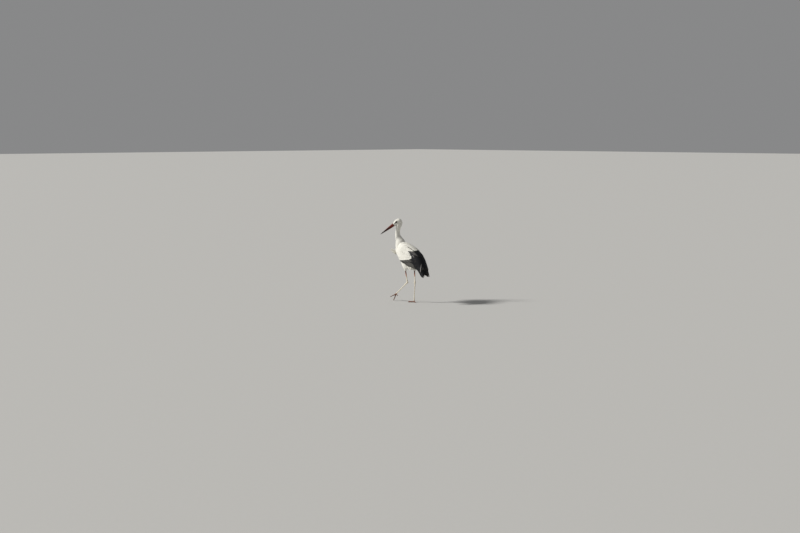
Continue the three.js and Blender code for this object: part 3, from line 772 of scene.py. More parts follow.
def add_mandible(word, direction, depth, tip_depth, length, material):
    """Half of the bill: a ridge along its back, and a nostril and its groove in the upper one."""
    t = np.linspace(0, 1, BILL_RINGS) ** 0.92
    angle = np.linspace(0, math.pi, BILL_SIDES)
    reach = BILL_INSET - (length + BILL_INSET) * t
    taper = np.where(t > 0.985, np.sqrt(np.clip(1 - ((t - 0.985) / 0.0165) ** 2, 0.02, 1)), 1)
    tall = (depth + (tip_depth - depth) * t**BILL_FULLNESS) * taper
    wide = (BILL_HALF_WIDTH + (BILL_TIP_HALF_WIDTH - BILL_HALF_WIDTH) * t) * taper
    round_ = np.sin(angle)
    keel = 1 + 0.05 * np.exp(-(((angle - math.pi / 2) / 0.2) ** 2))
    left = np.sign(np.cos(angle)) * np.abs(np.cos(angle)) ** 0.92
    rise = 0.15 + tall[:, None] * (round_ ** 1.06 * keel)[None]
    out = wide[:, None] * left[None]
    if direction > 0:
        for middle in (0.62, math.pi - 0.62):
            over = np.exp(-(((angle - middle) / 0.11) ** 2))[None]
            nostril = np.exp(-(((reach + 22) / 6.5) ** 4))[:, None]
            groove = np.exp(-(((reach + 34) / 26) ** 4))[:, None]
            wider = np.exp(-(((angle - middle) / 0.2) ** 2))[None]
            out = out - np.sign(left)[None] * (1.3 * nostril * over + 0.45 * groove * wider)
    points = head_point(reach[:, None], direction * rise, out)
    floor = head_point(reach, direction * 0.15)[:, None]
    rings = np.concatenate([points, floor], 1)
    if direction > 0:
        rings = rings[:, ::-1]
    co, quads, ends = loft(rings)
    mesh = mesh_from(word, co, quads, ends)
    share = np.concatenate([round_, [0.0]])
    share = share[::-1] if direction > 0 else share
    add_values(mesh, "along", np.concatenate([np.repeat(t, BILL_SIDES + 1), [0, 1]]))
    add_values(mesh, "rise", np.concatenate([np.tile(share, BILL_RINGS), [0.5, 0.5]]))
    add_object(word, mesh, [material], [word.replace("mandible", "bill")])


# ---------------------------------------------------------------- claws


def add_claws(material):
    """A blunt curved nail at the end of every toe."""
    turn = np.linspace(0, 2 * math.pi, 14, endpoint=False)
    for side, leg in LEGS.items():
        for digit, toe in leg["toes"].items():
            share = np.linspace(1 - CLAW_INSET / toe[0], 1 + CLAW_LENGTH / toe[0], 14)
            t = np.linspace(0, 1, 14)
            line = toe_path(leg["joint"], toe, share)
            line[:, 2] -= 0.8 * t**2
            ahead = unit(np.gradient(line, axis=0))
            across = unit(np.cross(ahead, np.array((0, 0, 1.0))))
            above = np.cross(across, ahead)
            radius = (3.5 * (1 - t) + 1.1 * t) * np.sqrt(np.clip(1.04 - t**6, 0, 1))
            ring = np.cos(turn)[None, :, None] * across[:, None] * 0.85
            ring = ring + np.sin(turn)[None, :, None] * above[:, None]
            points = (line[:, None] + ring * radius[:, None, None]) * MM
            points[..., 2] = np.maximum(points[..., 2], 0.0)
            co, quads, ends = loft(points)
            mesh = mesh_from(f"nail_{side}_{digit}", co, quads, ends)
            add_object(f"nail_{side}_{digit}", mesh, [material], [f"claw_{side}_{digit}"])


# ---------------------------------------------------------------- lie of the coat

# Rows of a tract, in millimetres: a place inside the body, the body's radius there, and the
# length, half width and spacing of the tufts over it.
TRACTS = {
    "head": [
        (60, -258, 836, 16, 4.6, 0.80, 1.15),
        (46, -245, 850, 21, 6.0, 1.00, 1.35),
        (34, -232, 864, 26, 7.6, 1.25, 1.65),
        (21, -219, 872, 27, 9.6, 1.55, 2.0),
        (11, -210, 869, 26, 11.0, 1.70, 2.2),
        (9, -210, 852, 26, 12.0, 1.80, 2.3),
    ],
    "neck": [
        (17, -220, 840, 27, 12.5, 1.8, 2.4),
        (15, -233, 797, 24, 16.0, 2.1, 2.9),
        (9, -249, 754, 25, 20.0, 2.4, 3.3),
        (5, -249, 712, 30, 25.0, 2.9, 3.7),
        (2, -235, 674, 42, 31.0, 3.6, 4.3),
        (0, -218, 634, 56, 37.0, 4.4, 4.9),
        (0, -210, 600, 60, 40.0, 4.8, 5.2),
    ],
    "body": [
        (0, -240, 566, 62, 40.0, 5.0, 5.2),
        (0, -130, 537, 95, 40.0, 5.4, 5.6),
        (0, 20, 480, 80, 40.0, 5.4, 5.8),
        (0, 114, 410, 38, 38.0, 5.2, 5.6),
        (0, 150, 350, 20, 32.0, 4.6, 5.2),
    ],
    "thigh_left": [
        (40, -114, 470, 50, 32.0, 4.6, 4.5),
        (43, -103, 415, 44, 28.0, 4.2, 4.1),
        (45, -91, 360, 18, 18.0, 2.8, 2.6),
        (45, -86, 338, 9, 13.0, 1.9, 1.9),
    ],
    "thigh_right": [
        (-38, -44, 470, 50, 32.0, 4.6, 4.5),
        (-30, -28, 415, 44, 28.0, 4.2, 4.1),
        (-15, -7, 362, 18, 18.0, 2.8, 2.6),
        (-8, -1, 342, 9, 13.0, 1.9, 1.9),
    ],
}
TRACT_STEP = 4.0  # millimetres between the samples of a tract
BLEND = 0.42  # how softly one tract's lie turns into the next one's, in body radii
TRIES = 4.6  # how many points are thrown for each tuft that the spacing leaves room for
CLOSEST = 0.80  # how near to each other two tufts can be, as a share of the spacing


def tract_samples():
    """Samples along every tract: place, radius, tuft sizes, direction, tract number and way along."""
    rows = []
    for number, table in enumerate(TRACTS.values()):
        table = np.array(table, float)
        gaps = np.linalg.norm(np.diff(table[:, :3], axis=0), axis=1)
        ends = np.concatenate([[0], np.cumsum(gaps)])
        along = np.linspace(0, ends[-1], int(ends[-1] / TRACT_STEP) + 1)
        sample = np.stack([np.interp(along, ends, column) for column in table.T], 1)
        ahead = unit(np.gradient(sample[:, :3], axis=0))
        rows.append(np.column_stack([sample, ahead, np.full(len(along), number), along]))
    return np.concatenate(rows)


SAMPLES = tract_samples()


def lie_at(points):
    """The coat's direction, tuft sizes, tract number and way along it, for each point."""
    direction, sizes, tract, along = [], [], [], []
    for some in np.array_split(points / MM, max(1, len(points) // 4000)):
        gap = np.linalg.norm(some[:, None] - SAMPLES[None, :, :3], axis=2) / SAMPLES[:, 3]
        weight = np.exp(-(gap**2 - (gap**2).min(1, keepdims=True)) / (2 * BLEND**2))
        weight /= weight.sum(1, keepdims=True)
        direction.append(weight @ SAMPLES[:, 7:10])
        sizes.append(weight @ SAMPLES[:, 4:7] * MM)
        best = gap.argmin(1)
        tract.append(SAMPLES[best, 10].astype(int))
        along.append(SAMPLES[best, 11] * MM)
    return tuple(np.concatenate(part) for part in (direction, sizes, tract, along))


def bake_places(points, tract, along):
    """Each root's place on an unwrap of the body: the angle round its tract, and the way along."""
    angle = np.zeros(len(points))
    for number in np.unique(tract):
        mine = SAMPLES[SAMPLES[:, 10] == number]
        here = tract == number
        row = np.abs(mine[None, :, 11] * MM - along[here, None]).argmin(1)
        away = points[here] - mine[row, :3] * MM
        side = unit(np.cross(mine[row, 7:10], np.array((0.0, 1.0, 0.3))))
        above = np.cross(side, mine[row, 7:10])
        angle[here] = np.arctan2((away * side).sum(1), (away * above).sum(1)) / (2 * math.pi)
    span = (along - along.min()) / max(float(np.ptp(along)), 1e-6)
    return np.stack([0.01 + 0.98 * (angle % 1.0), 0.01 + 0.98 * span], 1)


def scattered(surface, allowed, seed):
    """Points spread over the allowed quads, no two nearer to each other than the coat's spacing."""
    draw = np.random.default_rng(seed)
    corners = surface.points[surface.quads[allowed]]
    across, down = corners[:, 2] - corners[:, 0], corners[:, 3] - corners[:, 1]
    area = np.linalg.norm(np.cross(across, down), axis=1) / 2
    spacing = lie_at(corners.mean(1))[1][:, 2]
    weight = area / spacing**2
    count = int(weight.sum() * TRIES)
    face = draw.choice(len(corners), count, p=weight / weight.sum())
    u, v = draw.random((2, count, 1))
    c = corners[face]
    places = (c[:, 0] * (1 - u) + c[:, 1] * u) * (1 - v) + (c[:, 3] * (1 - u) + c[:, 2] * u) * v
    cell = float(spacing.max())
    taken, kept = {}, []
    keys = np.floor(places / cell).astype(int).tolist()
    around = [(a, b, d) for a in (-1, 0, 1) for b in (-1, 0, 1) for d in (-1, 0, 1)]
    reaches = ((spacing[face] * CLOSEST) ** 2).tolist()
    for number, ((i, j, k), (x, y, z), far2) in enumerate(zip(keys, places.tolist(), reaches)):
        if any(
            (x - px) ** 2 + (y - py) ** 2 + (z - pz) ** 2 < far2
            for a, b, d in around
            for px, py, pz in taken.get((i + a, j + b, k + d), ())
        ):
            continue
        taken.setdefault((i, j, k), []).append((x, y, z))
        kept.append(number)
    return places[kept]


# ---------------------------------------------------------------- vanes

PATCH = 0.003  # of the map's width, for each tuft's own patch
PIECE_LIMIT = 190_000  # triangles in one piece of the coat


def vane_faces(count, rings, top, flip):
    """Quads and triangles of closed vanes, and where each corner's normal is found.

    A ring has top points over the vane from edge to edge. A wide vane's ring goes on underneath
    it; a narrow one of three points has a flat underside.
    """
    ring = top if top == 3 else 2 * top - 2
    step, k = np.meshgrid(np.arange(rings - 1), np.arange(ring), indexing="ij")
    beside = (k + 1) % ring
    body = np.stack([step * ring + k, step * ring + beside, (step + 1) * ring + beside,
                     (step + 1) * ring + k], -1).reshape(-1, 4)
    under = np.repeat((np.arange(ring) >= top - 1)[None], rings - 1, 0).ravel()
    last = (rings - 1) * ring
    if top == 3:
        quads, triangles = body, np.array([[0, 2, 1], [last, last + 1, last + 2]])
        below = under
    else:
        middle = np.arange(1, top - 2)
        cap = np.stack([middle, middle + 1, ring - middle - 1, ring - middle], 1)
        quads = np.concatenate([body, cap[:, ::-1], cap + last])
        below = np.concatenate([under, np.zeros(2 * len(cap), bool)])
        corner = np.array([[0, 1, ring - 1], [top - 2, top - 1, top]])
        triangles = np.concatenate([corner[:, ::-1], corner + last])
    if flip:
        quads, triangles = quads[:, ::-1], triangles[:, ::-1]
    shift = (np.arange(count) * rings * ring)[:, None, None]
    return (quads[None] + shift).reshape(-1, 4), (triangles[None] + shift).reshape(-1, 3), below


def shade_apart(mesh, rings, ring, across, above, below, quads, triangles, is_below):
    """Gives the upper faces softened normals and the lower ones their own. Rims and ends are sharp."""
    per_quad = np.where(is_below[:, None, None], -below[quads], above[quads]).reshape(-1, 3)
    normals = np.concatenate([per_quad, above[triangles].reshape(-1, 3)])
    layer = mesh.attributes.new("custom_normal", "FLOAT_VECTOR", "CORNER")
    layer.data.foreach_set("vector", normals.astype(np.float32).ravel())
    ends = np.empty(len(mesh.edges) * 2, np.int32)
    mesh.edges.foreach_get("vertices", ends)
    first, second = (ends.reshape(-1, 2) % ring).T
    rim = (first == second) & ((first == 0) | (first == across - 1))
    row, other_row = (ends.reshape(-1, 2) // ring % rings).T
    end = (row == other_row) & ((row == 0) | (row == rings - 1))
    sharp = mesh.attributes.new("sharp_edge", "BOOLEAN", "EDGE")
    sharp.data.foreach_set("value", rim | end)


def build_vanes(name, top, base_normal, soft, thick, roots, tone, length, wide, material, slot,
                replaced=(), flip=False):
    """One piece made of vanes, split where it has too many triangles.

    top holds points over each vane (vane, ring, point, xyz). soft draws its shading towards the
    surface it lies on, so that a dense coat looks soft.
    """
    count, rings, across = top.shape[:3]
    ring = across if across == 3 else 2 * across - 2
    each = (rings - 1) * ring * 2 + 2 * (ring - 2)
    pieces = math.ceil(count * each / PIECE_LIMIT)
    if pieces > 1:
        for number, part in enumerate(np.array_split(np.arange(count), pieces)):
            build_vanes(f"{name}_{number + 1}", top[part], base_normal[part], soft, thick[part],
                        roots[part], tone[part], length[part], wide[part], material, slot, replaced, flip)
        return
    b = np.linspace(-1, 1, across)
    order = np.concatenate([np.arange(across), np.arange(across - 2, 0, -1)])[:ring]
    own = np.cross(np.gradient(top, axis=2), np.gradient(top, axis=1)) * (-1 if flip else 1)
    own[:, -1] = own[:, -2]
    own = unit(own)
    normal = unit(own * (1 - soft) + base_normal * soft)
    points = top[:, :, order]
    if across > 3:
        inward = (np.arange(ring) >= across)[None, None, :, None]
        points = points - own[:, :, order] * inward * thick[:, None, None, None]
    quads, triangles, below = vane_faces(count, rings, across, flip)
    mesh = mesh_from(name, points.reshape(-1, 3), quads, triangles)
    above, beneath = normal[:, :, order].reshape(-1, 3), own[:, :, order].reshape(-1, 3)
    shade_apart(mesh, rings, ring, across, above, beneath, quads, triangles, np.tile(below, count))
    along = np.broadcast_to(np.linspace(0, 1, rings)[None, :, None], (count, rings, ring))
    side = np.broadcast_to(b[order][None, None], (count, rings, ring))
    patch = roots[:, None, None, :] + np.stack([side * 0.5, along - 0.5], -1) * PATCH
    add_map(mesh, "OFBake", patch.reshape(-1, 2))
    vane = np.stack([side * wide[:, None, None], along * length[:, None, None]], -1) * 100
    add_map(mesh, "Vane", vane.reshape(-1, 2))
    add_values(mesh, "along", along)
    add_values(mesh, "tone", np.repeat(tone, rings * ring))
    add_object(name, mesh, [material], replaced)


def blade(place, normal, height, wide, across, camber):
    """Points over each vane that runs along place, so high over the surface it lies on."""
    ahead = unit(np.gradient(place, axis=1))
    side = unit(np.cross(ahead, normal))
    b = np.linspace(-1, 1, across)
    rise = height[..., None] + camber * wide[..., None] * (1 - b**2)
    out = wide[..., None] * b
    return place[:, :, None] + side[:, :, None] * out[..., None] + normal[:, :, None] * rise[..., None]


# ---------------------------------------------------------------- contour feathers

# Half width along a tuft and along a loose plume, as a share of its widest.
TUFT_OUTLINE = np.array([0.5, 0.95, 1.0, 0.92, 0.64, 0.10])
PLUME_OUTLINE = np.array([0.5, 0.85, 1.0, 0.95, 0.8, 0.6, 0.38, 0.06])
PLUME_ARCH = 0.12  # how far a hanging plume bows out, as a share of its length


def march(surface, roots, length, turn, steps):
    """Follows the lie of the coat over the surface. Returns places, normals and depths."""
    place, normal, depth, lie = surface.nearest(roots)
    places, normals, depths = [place], [normal], [depth]
    for _ in range(steps):
        flat = unit(lie - (lie * normal).sum(1, keepdims=True) * normal)
        flat = unit(flat + np.cross(normal, flat) * turn[:, None])
        place, normal, depth, lie = surface.nearest(place + flat * (length / steps)[:, None])
        places.append(place)
        normals.append(normal)
        depths.append(depth)
    return np.stack(places, 1), np.stack(normals, 1), np.stack(depths, 1)


def coat_of_tufts(name, surface, roots, material, seed):
    """Small feathers that lie over the skin, roots under their neighbours and tips on top."""
    draw = np.random.default_rng(seed)
    _, sizes, tract, along = lie_at(roots)
    order = np.lexsort((along, tract))
    roots, sizes, tract, along = roots[order], sizes[order], tract[order], along[order]
    count, rings = len(roots), len(TUFT_OUTLINE)
    length = sizes[:, 0] * draw.uniform(0.85, 1.18, count)
    wide = sizes[:, 1] * draw.uniform(0.85, 1.15, count)
    turn = draw.normal(0, 0.06, count)
    place, normal, depth = march(surface, roots, length, turn, rings - 1)
    a = np.linspace(0, 1, rings)
    stand = 1 + 0.02 * draw.standard_normal(count)
    height = (0.2 + 0.8 * (1 - (1 - a) ** 5) - 0.08 * a**4)[None] * depth * stand[:, None]
    ragged = 1 + 0.12 * draw.standard_normal((count, rings))
    width = wide[:, None] * TUFT_OUTLINE[None] * np.clip(ragged, 0.7, 1.3)
    top = blade(place, normal, height, width, 3, 0.12)
    base = np.broadcast_to(normal[:, :, None], top.shape)
    build_vanes(name, top, base, 0.8, np.zeros(count), bake_places(roots, tract, along),
                draw.random(count), length, wide, material, slot_of(material))


def hanging_plumes(name, surface, roots, tips, facing, wide, material, seed):
    """Long loose plumes from roots on the skin to tips in the air, their faces turned to facing."""
    draw = np.random.default_rng(seed)
    rings = len(PLUME_OUTLINE)
    count = len(roots)
    place, normal = surface.nearest(roots)[:2]
    span = tips - place
    length = np.linalg.norm(span, axis=1)
    bow = normal * (length * PLUME_ARCH)[:, None]
    t = np.linspace(0, 1, rings)[None, :, None]
    line = place[:, None] + span[:, None] * t + bow[:, None] * (4 * t * (1 - t))
    up = unit(facing + 0.25 * draw.standard_normal((count, 3)))
    up = np.repeat(up[:, None], rings, 1)
    ahead = unit(np.gradient(line, axis=1))
    up = unit(up - (up * ahead).sum(-1, keepdims=True) * ahead)
    top = blade(line, up, np.zeros((count, rings)), wide[:, None] * PLUME_OUTLINE[None], 3, 0.22)
    _, _, tract, along = lie_at(place)
    build_vanes(name, top, np.broadcast_to(up[:, :, None], top.shape), 0.4, np.zeros(count),
                bake_places(place, tract, along), draw.random(count), length, wide, material,
                slot_of(material))


# ---------------------------------------------------------------- wing chart

# The axis of the closed wings in side view, in millimetres, from the shoulders to the tips.
WING_AXIS = np.array([
    (-236, 566), (-196, 561), (-120, 536), (-40, 508), (26, 480), (78, 448), (118, 402), (150, 350),
    (178, 300), (188, 280),
], float) * MM
CHART_ROWS, CHART_COLUMNS = 150, 110
CHART_FROM, CHART_TO = -0.35, 1.12  # columns run from over the far side to past the lower edge
WING_GROUPS = ("scapulars", "coverts", "secondaries", "tertials", "primaries")


def wing_axis():
    """Evenly spaced places and directions along the wings' axis, and its length."""
    gaps = np.linalg.norm(np.diff(WING_AXIS, axis=0), axis=1)
    ends = np.concatenate([[0], np.cumsum(gaps)])
    fine = np.linspace(0, ends[-1], 200)
    line = np.stack([np.interp(fine, ends, column) for column in WING_AXIS.T], 1)
    kernel = np.hanning(41) / np.hanning(41).sum()
    padded = np.pad(line, ((20, 20), (0, 0)), mode="reflect", reflect_type="odd")
    line = np.stack([np.convolve(column, kernel, "valid") for column in padded.T], 1)
    ahead = unit(np.gradient(line, axis=0))
    rows = np.linspace(0, ends[-1], CHART_ROWS)
    y, z, ay, az = (np.interp(rows, fine, column) for column in (*line.T, *ahead.T))
    zero = np.zeros(CHART_ROWS)
    return np.stack([zero, y, z], 1), unit(np.stack([zero, ay, az], 1)), ends[-1]


class WingChart:
    """The outer face of one closed wing, by metres along it (s) and by share of the way down it (f)."""

    def __init__(self, word):
        self.side = 1.0 if word == "left" else -1.0
        names = [f"wing_{each}_{group}" for each in SIDES for group in WING_GROUPS]
        co, triangles, self.owner = arrays_of([*names, "trunk", "tail"])
        self.wing_count = len(names)
        self.body = BVHTree.FromPolygons(co.tolist(), triangles.tolist())
        centre, ahead, self.length = wing_axis()
        self.s = np.linspace(0, self.length, CHART_ROWS)
        self.f = np.linspace(CHART_FROM, CHART_TO, CHART_COLUMNS)
        side = np.array((self.side, 0.0, 0.0))
        above = np.cross(np.array((1.0, 0.0, 0.0)), ahead)
        self.edge = self.lower_edges(centre, side, above)
        angle = self.f[None, :] * self.edge[:, None]
        out = np.cos(angle)[..., None] * above[:, None] + np.sin(angle)[..., None] * side
        self.group = np.full((CHART_ROWS, CHART_COLUMNS), -1)
        radius = np.full((CHART_ROWS, CHART_COLUMNS), np.nan)
        for i in range(CHART_ROWS):
            for j in range(CHART_COLUMNS):
                reach, owner = self.cast(centre[i], out[i, j])
                if owner < self.wing_count:
                    radius[i, j] = reach
                    self.group[i, j] = owner % len(WING_GROUPS)
        radius = self.filled(radius)
        for _ in range(8):
            inner = radius[1:-1, 1:-1]
            around = radius[2:, 1:-1] + radius[:-2, 1:-1] + radius[1:-1, 2:] + radius[1:-1, :-2]
            radius[1:-1, 1:-1] = inner + 0.2 * (around - 4 * inner)
        self.grid = centre[:, None] + out * radius[..., None]
        down, along = np.gradient(self.grid, axis=1), np.gradient(self.grid, axis=0)
        self.normal = unit(np.cross(down, along)) * self.side
        self.per_metre = (self.f[1] - self.f[0]) / np.maximum(np.linalg.norm(down, axis=2), 1e-5)

    def cast(self, centre, out, far=0.25):
        """The distance from the axis to the outer surface that way, and the node it is on."""
        hit, _, face, gone = self.body.ray_cast(Vector(centre + out * far), Vector(-out), far)
        return (0.0, 99) if hit is None else (far - gone, self.owner[face])

    def lower_edges(self, centre, side, above):
        """The angle down to the wing's lower edge, at each row."""
        angles = np.radians(np.arange(30, 172, 1.0))
        edges = np.zeros(CHART_ROWS)
        for i in range(CHART_ROWS):
            for angle in angles:
                out = math.cos(angle) * above[i] + math.sin(angle) * side
                if self.cast(centre[i], out)[1] < self.wing_count:
                    edges[i] = angle
        good = edges > math.radians(40)
        edges = np.interp(np.arange(CHART_ROWS), np.flatnonzero(good), edges[good])
        kernel = np.hanning(13) / np.hanning(13).sum()
        return np.convolve(np.pad(edges, 6, mode="edge"), kernel, "valid")

    @staticmethod
    def filled(radius):
        """Gaps in a row take the nearest known values beside them, and empty rows their neighbours'."""
        for row in radius:
            known = np.flatnonzero(~np.isnan(row))
            if len(known):
                row[:] = np.interp(np.arange(len(row)), known, row[known])
        known = np.flatnonzero(~np.isnan(radius[:, 0]))
        for column in radius.T:
            column[:] = np.interp(np.arange(len(column)), known, column[known])
        return radius

    def look(self, table, s, f):
        """A table's values at places of the chart, between its own rows and columns."""
        s, f = np.broadcast_arrays(s, f)
        i = np.clip(s / self.length * (CHART_ROWS - 1), 0, CHART_ROWS - 1.001)
        share = (f - CHART_FROM) / (CHART_TO - CHART_FROM)
        j = np.clip(share * (CHART_COLUMNS - 1), 0, CHART_COLUMNS - 1.001)
        i0, j0 = i.astype(int), j.astype(int)
        u, v = i - i0, j - j0
        if table.ndim == 3:
            u, v = u[..., None], v[..., None]
        near = table[i0, j0] * (1 - v) + table[i0, j0 + 1] * v
        far = table[i0 + 1, j0] * (1 - v) + table[i0 + 1, j0 + 1] * v
        return near * (1 - u) + far * u

    def border(self, groups, f, last=True, blur=1):
        """How far along the wing the groups reach, or start, at the shares f of the way down."""
        inside = np.isin(self.group, [WING_GROUPS.index(group) for group in groups])
        order = np.arange(CHART_ROWS)[:, None]
        reach = np.where(inside, order, -1).max(0) if last else np.where(inside, order, CHART_ROWS).min(0)
        known = inside.any(0) & (self.f > -0.05) & (self.f < 0.985)
        table = np.interp(self.f, self.f[known], self.s[reach[known]])
        kernel = np.hanning(2 * blur + 3)
        table = np.convolve(np.pad(table, blur + 1, mode="edge"), kernel / kernel.sum(), "valid")
        return np.interp(f, self.f, table)


# ---------------------------------------------------------------- wing feathers

FLESH_GROUPS = ("scapulars", "coverts")  # the skin stands for these, and feathers for the others
SPLITS = 0.14  # how deep the splits in a vane's edge can be, as a share of its half width
GREY_WEB_TONE, PLAIN_TONE = 0.62, 0.5  # the tone of a flight feather with a grey outer web, painted sheen on the black ones, and the highest tone of the others


def wing_feathers(chart, name, plan, material, replaced, rings, across, seed, thick, soft):
    """Feathers laid on a wing's chart, from rows of a plan.

    A row holds the tip's s and f, the length, the turn down from the chart's own direction, the
    half width, the heights of root and tip over the wing's face, the rise from the back edge to
    the lower one, how blunt the tip is, and the tone. Lengths are in metres.
    """
    plan = np.array(plan, float)
    draw = np.random.default_rng(seed)
    s1, f1, length, turn, wide, low, high, tilt, blunt, tone = plan.T
    per_metre = chart.look(chart.per_metre, s1 - length / 2, f1)
    s0, f0 = s1 - length * np.cos(turn), f1 - length * np.sin(turn) * per_metre
    a = np.linspace(0, 1, rings) ** 0.85
    b = np.linspace(-1, 1, across)
    tip = np.sqrt(1 - a[None, :] ** (2.2 + 7 * blunt[:, None]))
    w = wide[:, None] * np.maximum(tip * (0.4 + 0.6 * np.minimum(a / 0.3, 1)), 0.04)
    notch = 1 - SPLITS * draw.random((len(plan), rings, 2)) ** 2.5
    sides = np.where(b < 0, notch[..., :1], notch[..., 1:])
    w = w[..., None] * sides
    s, f = s0[:, None] + (s1 - s0)[:, None] * a, f0[:, None] + (f1 - f0)[:, None] * a
    spread = b * w * chart.look(chart.per_metre, s, f)[..., None]
    ff = f[..., None] + spread * np.cos(turn)[:, None, None]
    ss = s[..., None] - b * w * np.sin(turn)[:, None, None]
    face = chart.look(chart.grid, ss, ff)
    normal = unit(chart.look(chart.normal, ss, ff))
    height = (low[:, None] + (high - low)[:, None] * a**0.7)[..., None]
    ridge = 0.45 * MM * np.maximum(0, 1 - np.abs(b) * 3) * (1 - a[None, :, None])
    height = height + tilt[:, None, None] * b + 0.06 * wide[:, None, None] * (1 - b**2) + ridge
    top = face + normal * height[..., None]
    shares = np.stack([s0 / chart.length, (f0 - CHART_FROM) / (CHART_TO - CHART_FROM)], 1)
    uv = 0.01 + 0.98 * np.clip(shares, 0, 1)
    build_vanes(name, top, normal, soft, np.full(len(plan), thick * MM), uv, tone, length, wide, material,
                slot_of(material), replaced, flip=chart.side < 0)


# Rows of white coverts from the hindmost forwards, in millimetres: how much of a feather shows,
# its length and its half width. The last row is repeated up to the wing's front edge.
COVERT_ROWS = [
    (0, 54, 12.5), (27, 48, 11.5), (22, 42, 10.5), (18, 36, 9.5), (15, 31, 8.6), (13, 28, 8.0),
    (12, 26, 7.6), (11.5, 25, 7.3), (11, 24, 7.0), (10.5, 23, 6.8), (10, 22, 6.6), (9.5, 21, 6.3),
    (9, 20, 6.0), (8.5, 19, 5.6), (8, 18, 5.3), (7.5, 17, 5.0), (7, 16, 4.8),
]
SCAPULAR_ROWS = [
    (0, 112, 15), (30, 108, 15), (30, 98, 14), (29, 84, 13), (27, 70, 12), (24, 58, 10.5),
    (21, 48, 9.5), (18, 42, 8.5), (16, 36, 7.6), (14, 32, 7), (12, 30, 6.5), (11, 28, 6),
]
COVERT_ROW_COUNT = 26  # enough to reach the wing's front edge
FRONT_SLOPE = 55 * MM  # the length over which the front feathers rise out of the body's coat
COVERT_START = 20 * MM  # how far behind the wing's front edge the coverts start
SCAPULAR_START = 30 * MM  # where along the wing the scapulars start to rise

# The skin is bare where it is near to a point this deep under the wing's face, from this far behind
# the wing's front edge.
UNDER_START, UNDER_DEPTH, UNDER_REACH = 34 * MM, 8 * MM, 8.5 * MM


def along_row(chart, s_at, low, high, pitch, draw):
    """Shares f at even distances along the row s_at(f) of the chart."""
    f = np.linspace(low, high, 300)
    line = chart.look(chart.grid, s_at(f), f)
    gone = np.concatenate([[0], np.cumsum(np.linalg.norm(np.diff(line, axis=0), axis=1))])
    wanted = np.arange(pitch * draw.uniform(0.1, 0.9), gone[-1], pitch)
    wanted = wanted + draw.uniform(-0.12, 0.12, len(wanted)) * pitch
    return np.interp(wanted, gone, f)


def covert_plan(chart, draw):
    """White coverts in rows that follow the hind border of the white."""
    plan, back = [], 0.0
    fine = np.linspace(-0.05, 1.1, 400)
    sharp = chart.border(FLESH_GROUPS, fine)
    smooth = chart.border(FLESH_GROUPS, fine, blur=14)
    slope = np.gradient(smooth, fine) * chart.look(chart.per_metre, smooth, fine)
    slope = np.clip(slope, -1.6, 0.5)
    front = chart.border(FLESH_GROUPS, fine, last=False, blur=3)
    for k in range(COVERT_ROW_COUNT):
        shows, length, half = COVERT_ROWS[min(k, len(COVERT_ROWS) - 1)]
        back += shows * MM
        share = min(1.0, k / 3)
        row = sharp * (1 - share) + smooth * share - back * np.sqrt(1 + slope**2)
        for f in along_row(chart, lambda f: np.interp(f, fine, row), 0.15, 1.025, 1.22 * half * MM, draw):
            s = np.interp(f, fine, row) + draw.normal(0, 1.3 * MM)
            beyond = s - np.interp(f, fine, front)
            if beyond < COVERT_START:
                continue
            sunk = np.clip(1 - beyond / FRONT_SLOPE, 0, 1)
            turn = 0.55 * math.atan(-np.interp(f, fine, slope)) + draw.normal(0, 0.05)
            size = draw.uniform(0.93, 1.07)
            plan.append((s, f, length * size * MM, turn, half * size * MM, (-4.6 - 4.0 * sunk) * MM,
                         (draw.normal(0.1, 0.25) - 5.5 * sunk) * MM, 1.1 * MM, 0.32, draw.random()))
    return plan


def scapular_plan(chart, draw):
    """Long scapulars over the back, raised above the coverts beside them."""
    plan, s = [], chart.border(FLESH_GROUPS, np.array([0.1]))[0] + 2 * MM
    edge_s = np.array([50, 87, 130, 163, 206, 265]) * MM
    edge_f = np.array([0.24, 0.205, 0.175, 0.16, 0.165, 0.175])
    for shows, length, half in SCAPULAR_ROWS:
        s -= shows * MM
        high = np.interp(s, edge_s, edge_f) + 0.01
        for f in along_row(chart, lambda f: np.full_like(f, s), -0.02, high, 1.2 * half * MM, draw):
            size = draw.uniform(0.94, 1.06)
            tip = s + draw.normal(0, 4 * MM) - 10 * MM * (f / high) ** 2
            sunk = np.clip(1 - (s - SCAPULAR_START) / FRONT_SLOPE, 0, 1)
            turn = draw.normal(0.02, 0.03)
            low, tip_height = -3.0 - 5.0 * sunk, draw.normal(2.4, 0.3) - 7.0 * sunk
            plan.append((tip, f, length * size * MM, turn, half * size * MM, low * MM, tip_height * MM,
                         0.9 * MM, 0.12, draw.random()))
    return plan


def flight_plan(shares, tips, reach, wide, low, high, tilt, blunt, draw, turn=0.0, grey_webbed=()):
    """Flight feathers side by side, each one's lower edge over the next. Those in grey_webbed get the
    greyer outer web of their material, which on the black feathers is painted sheen.
    """
    plan = []
    for number, f in enumerate(shares):
        tip = np.interp(f, *tips) * MM + draw.normal(0, 2.5 * MM)
        tone = GREY_WEB_TONE if number in grey_webbed else draw.uniform(0, PLAIN_TONE)
        share, size = f + draw.normal(0, 0.004), draw.uniform(0.95, 1.05)
        plan.append((tip, share, reach(f) * MM, turn, wide * MM * size, low * MM, high * MM, tilt * MM,
                     blunt, tone))
    return plan


# How far along the wing, in millimetres, each group's tips reach, by the share of the way down.
TERTIAL_TIPS = ((0.0, 0.3, 0.45, 0.55, 0.65, 0.75), (458, 464, 452, 432, 400, 356))
SECONDARY_TIPS = ((0.5, 0.78, 0.9, 1.0), (335, 350, 386, 416))
PRIMARY_TIPS = ((0.0, 0.15, 0.3, 0.5, 0.7, 0.85, 1.0), (512, 512, 514, 518, 529, 534, 522))

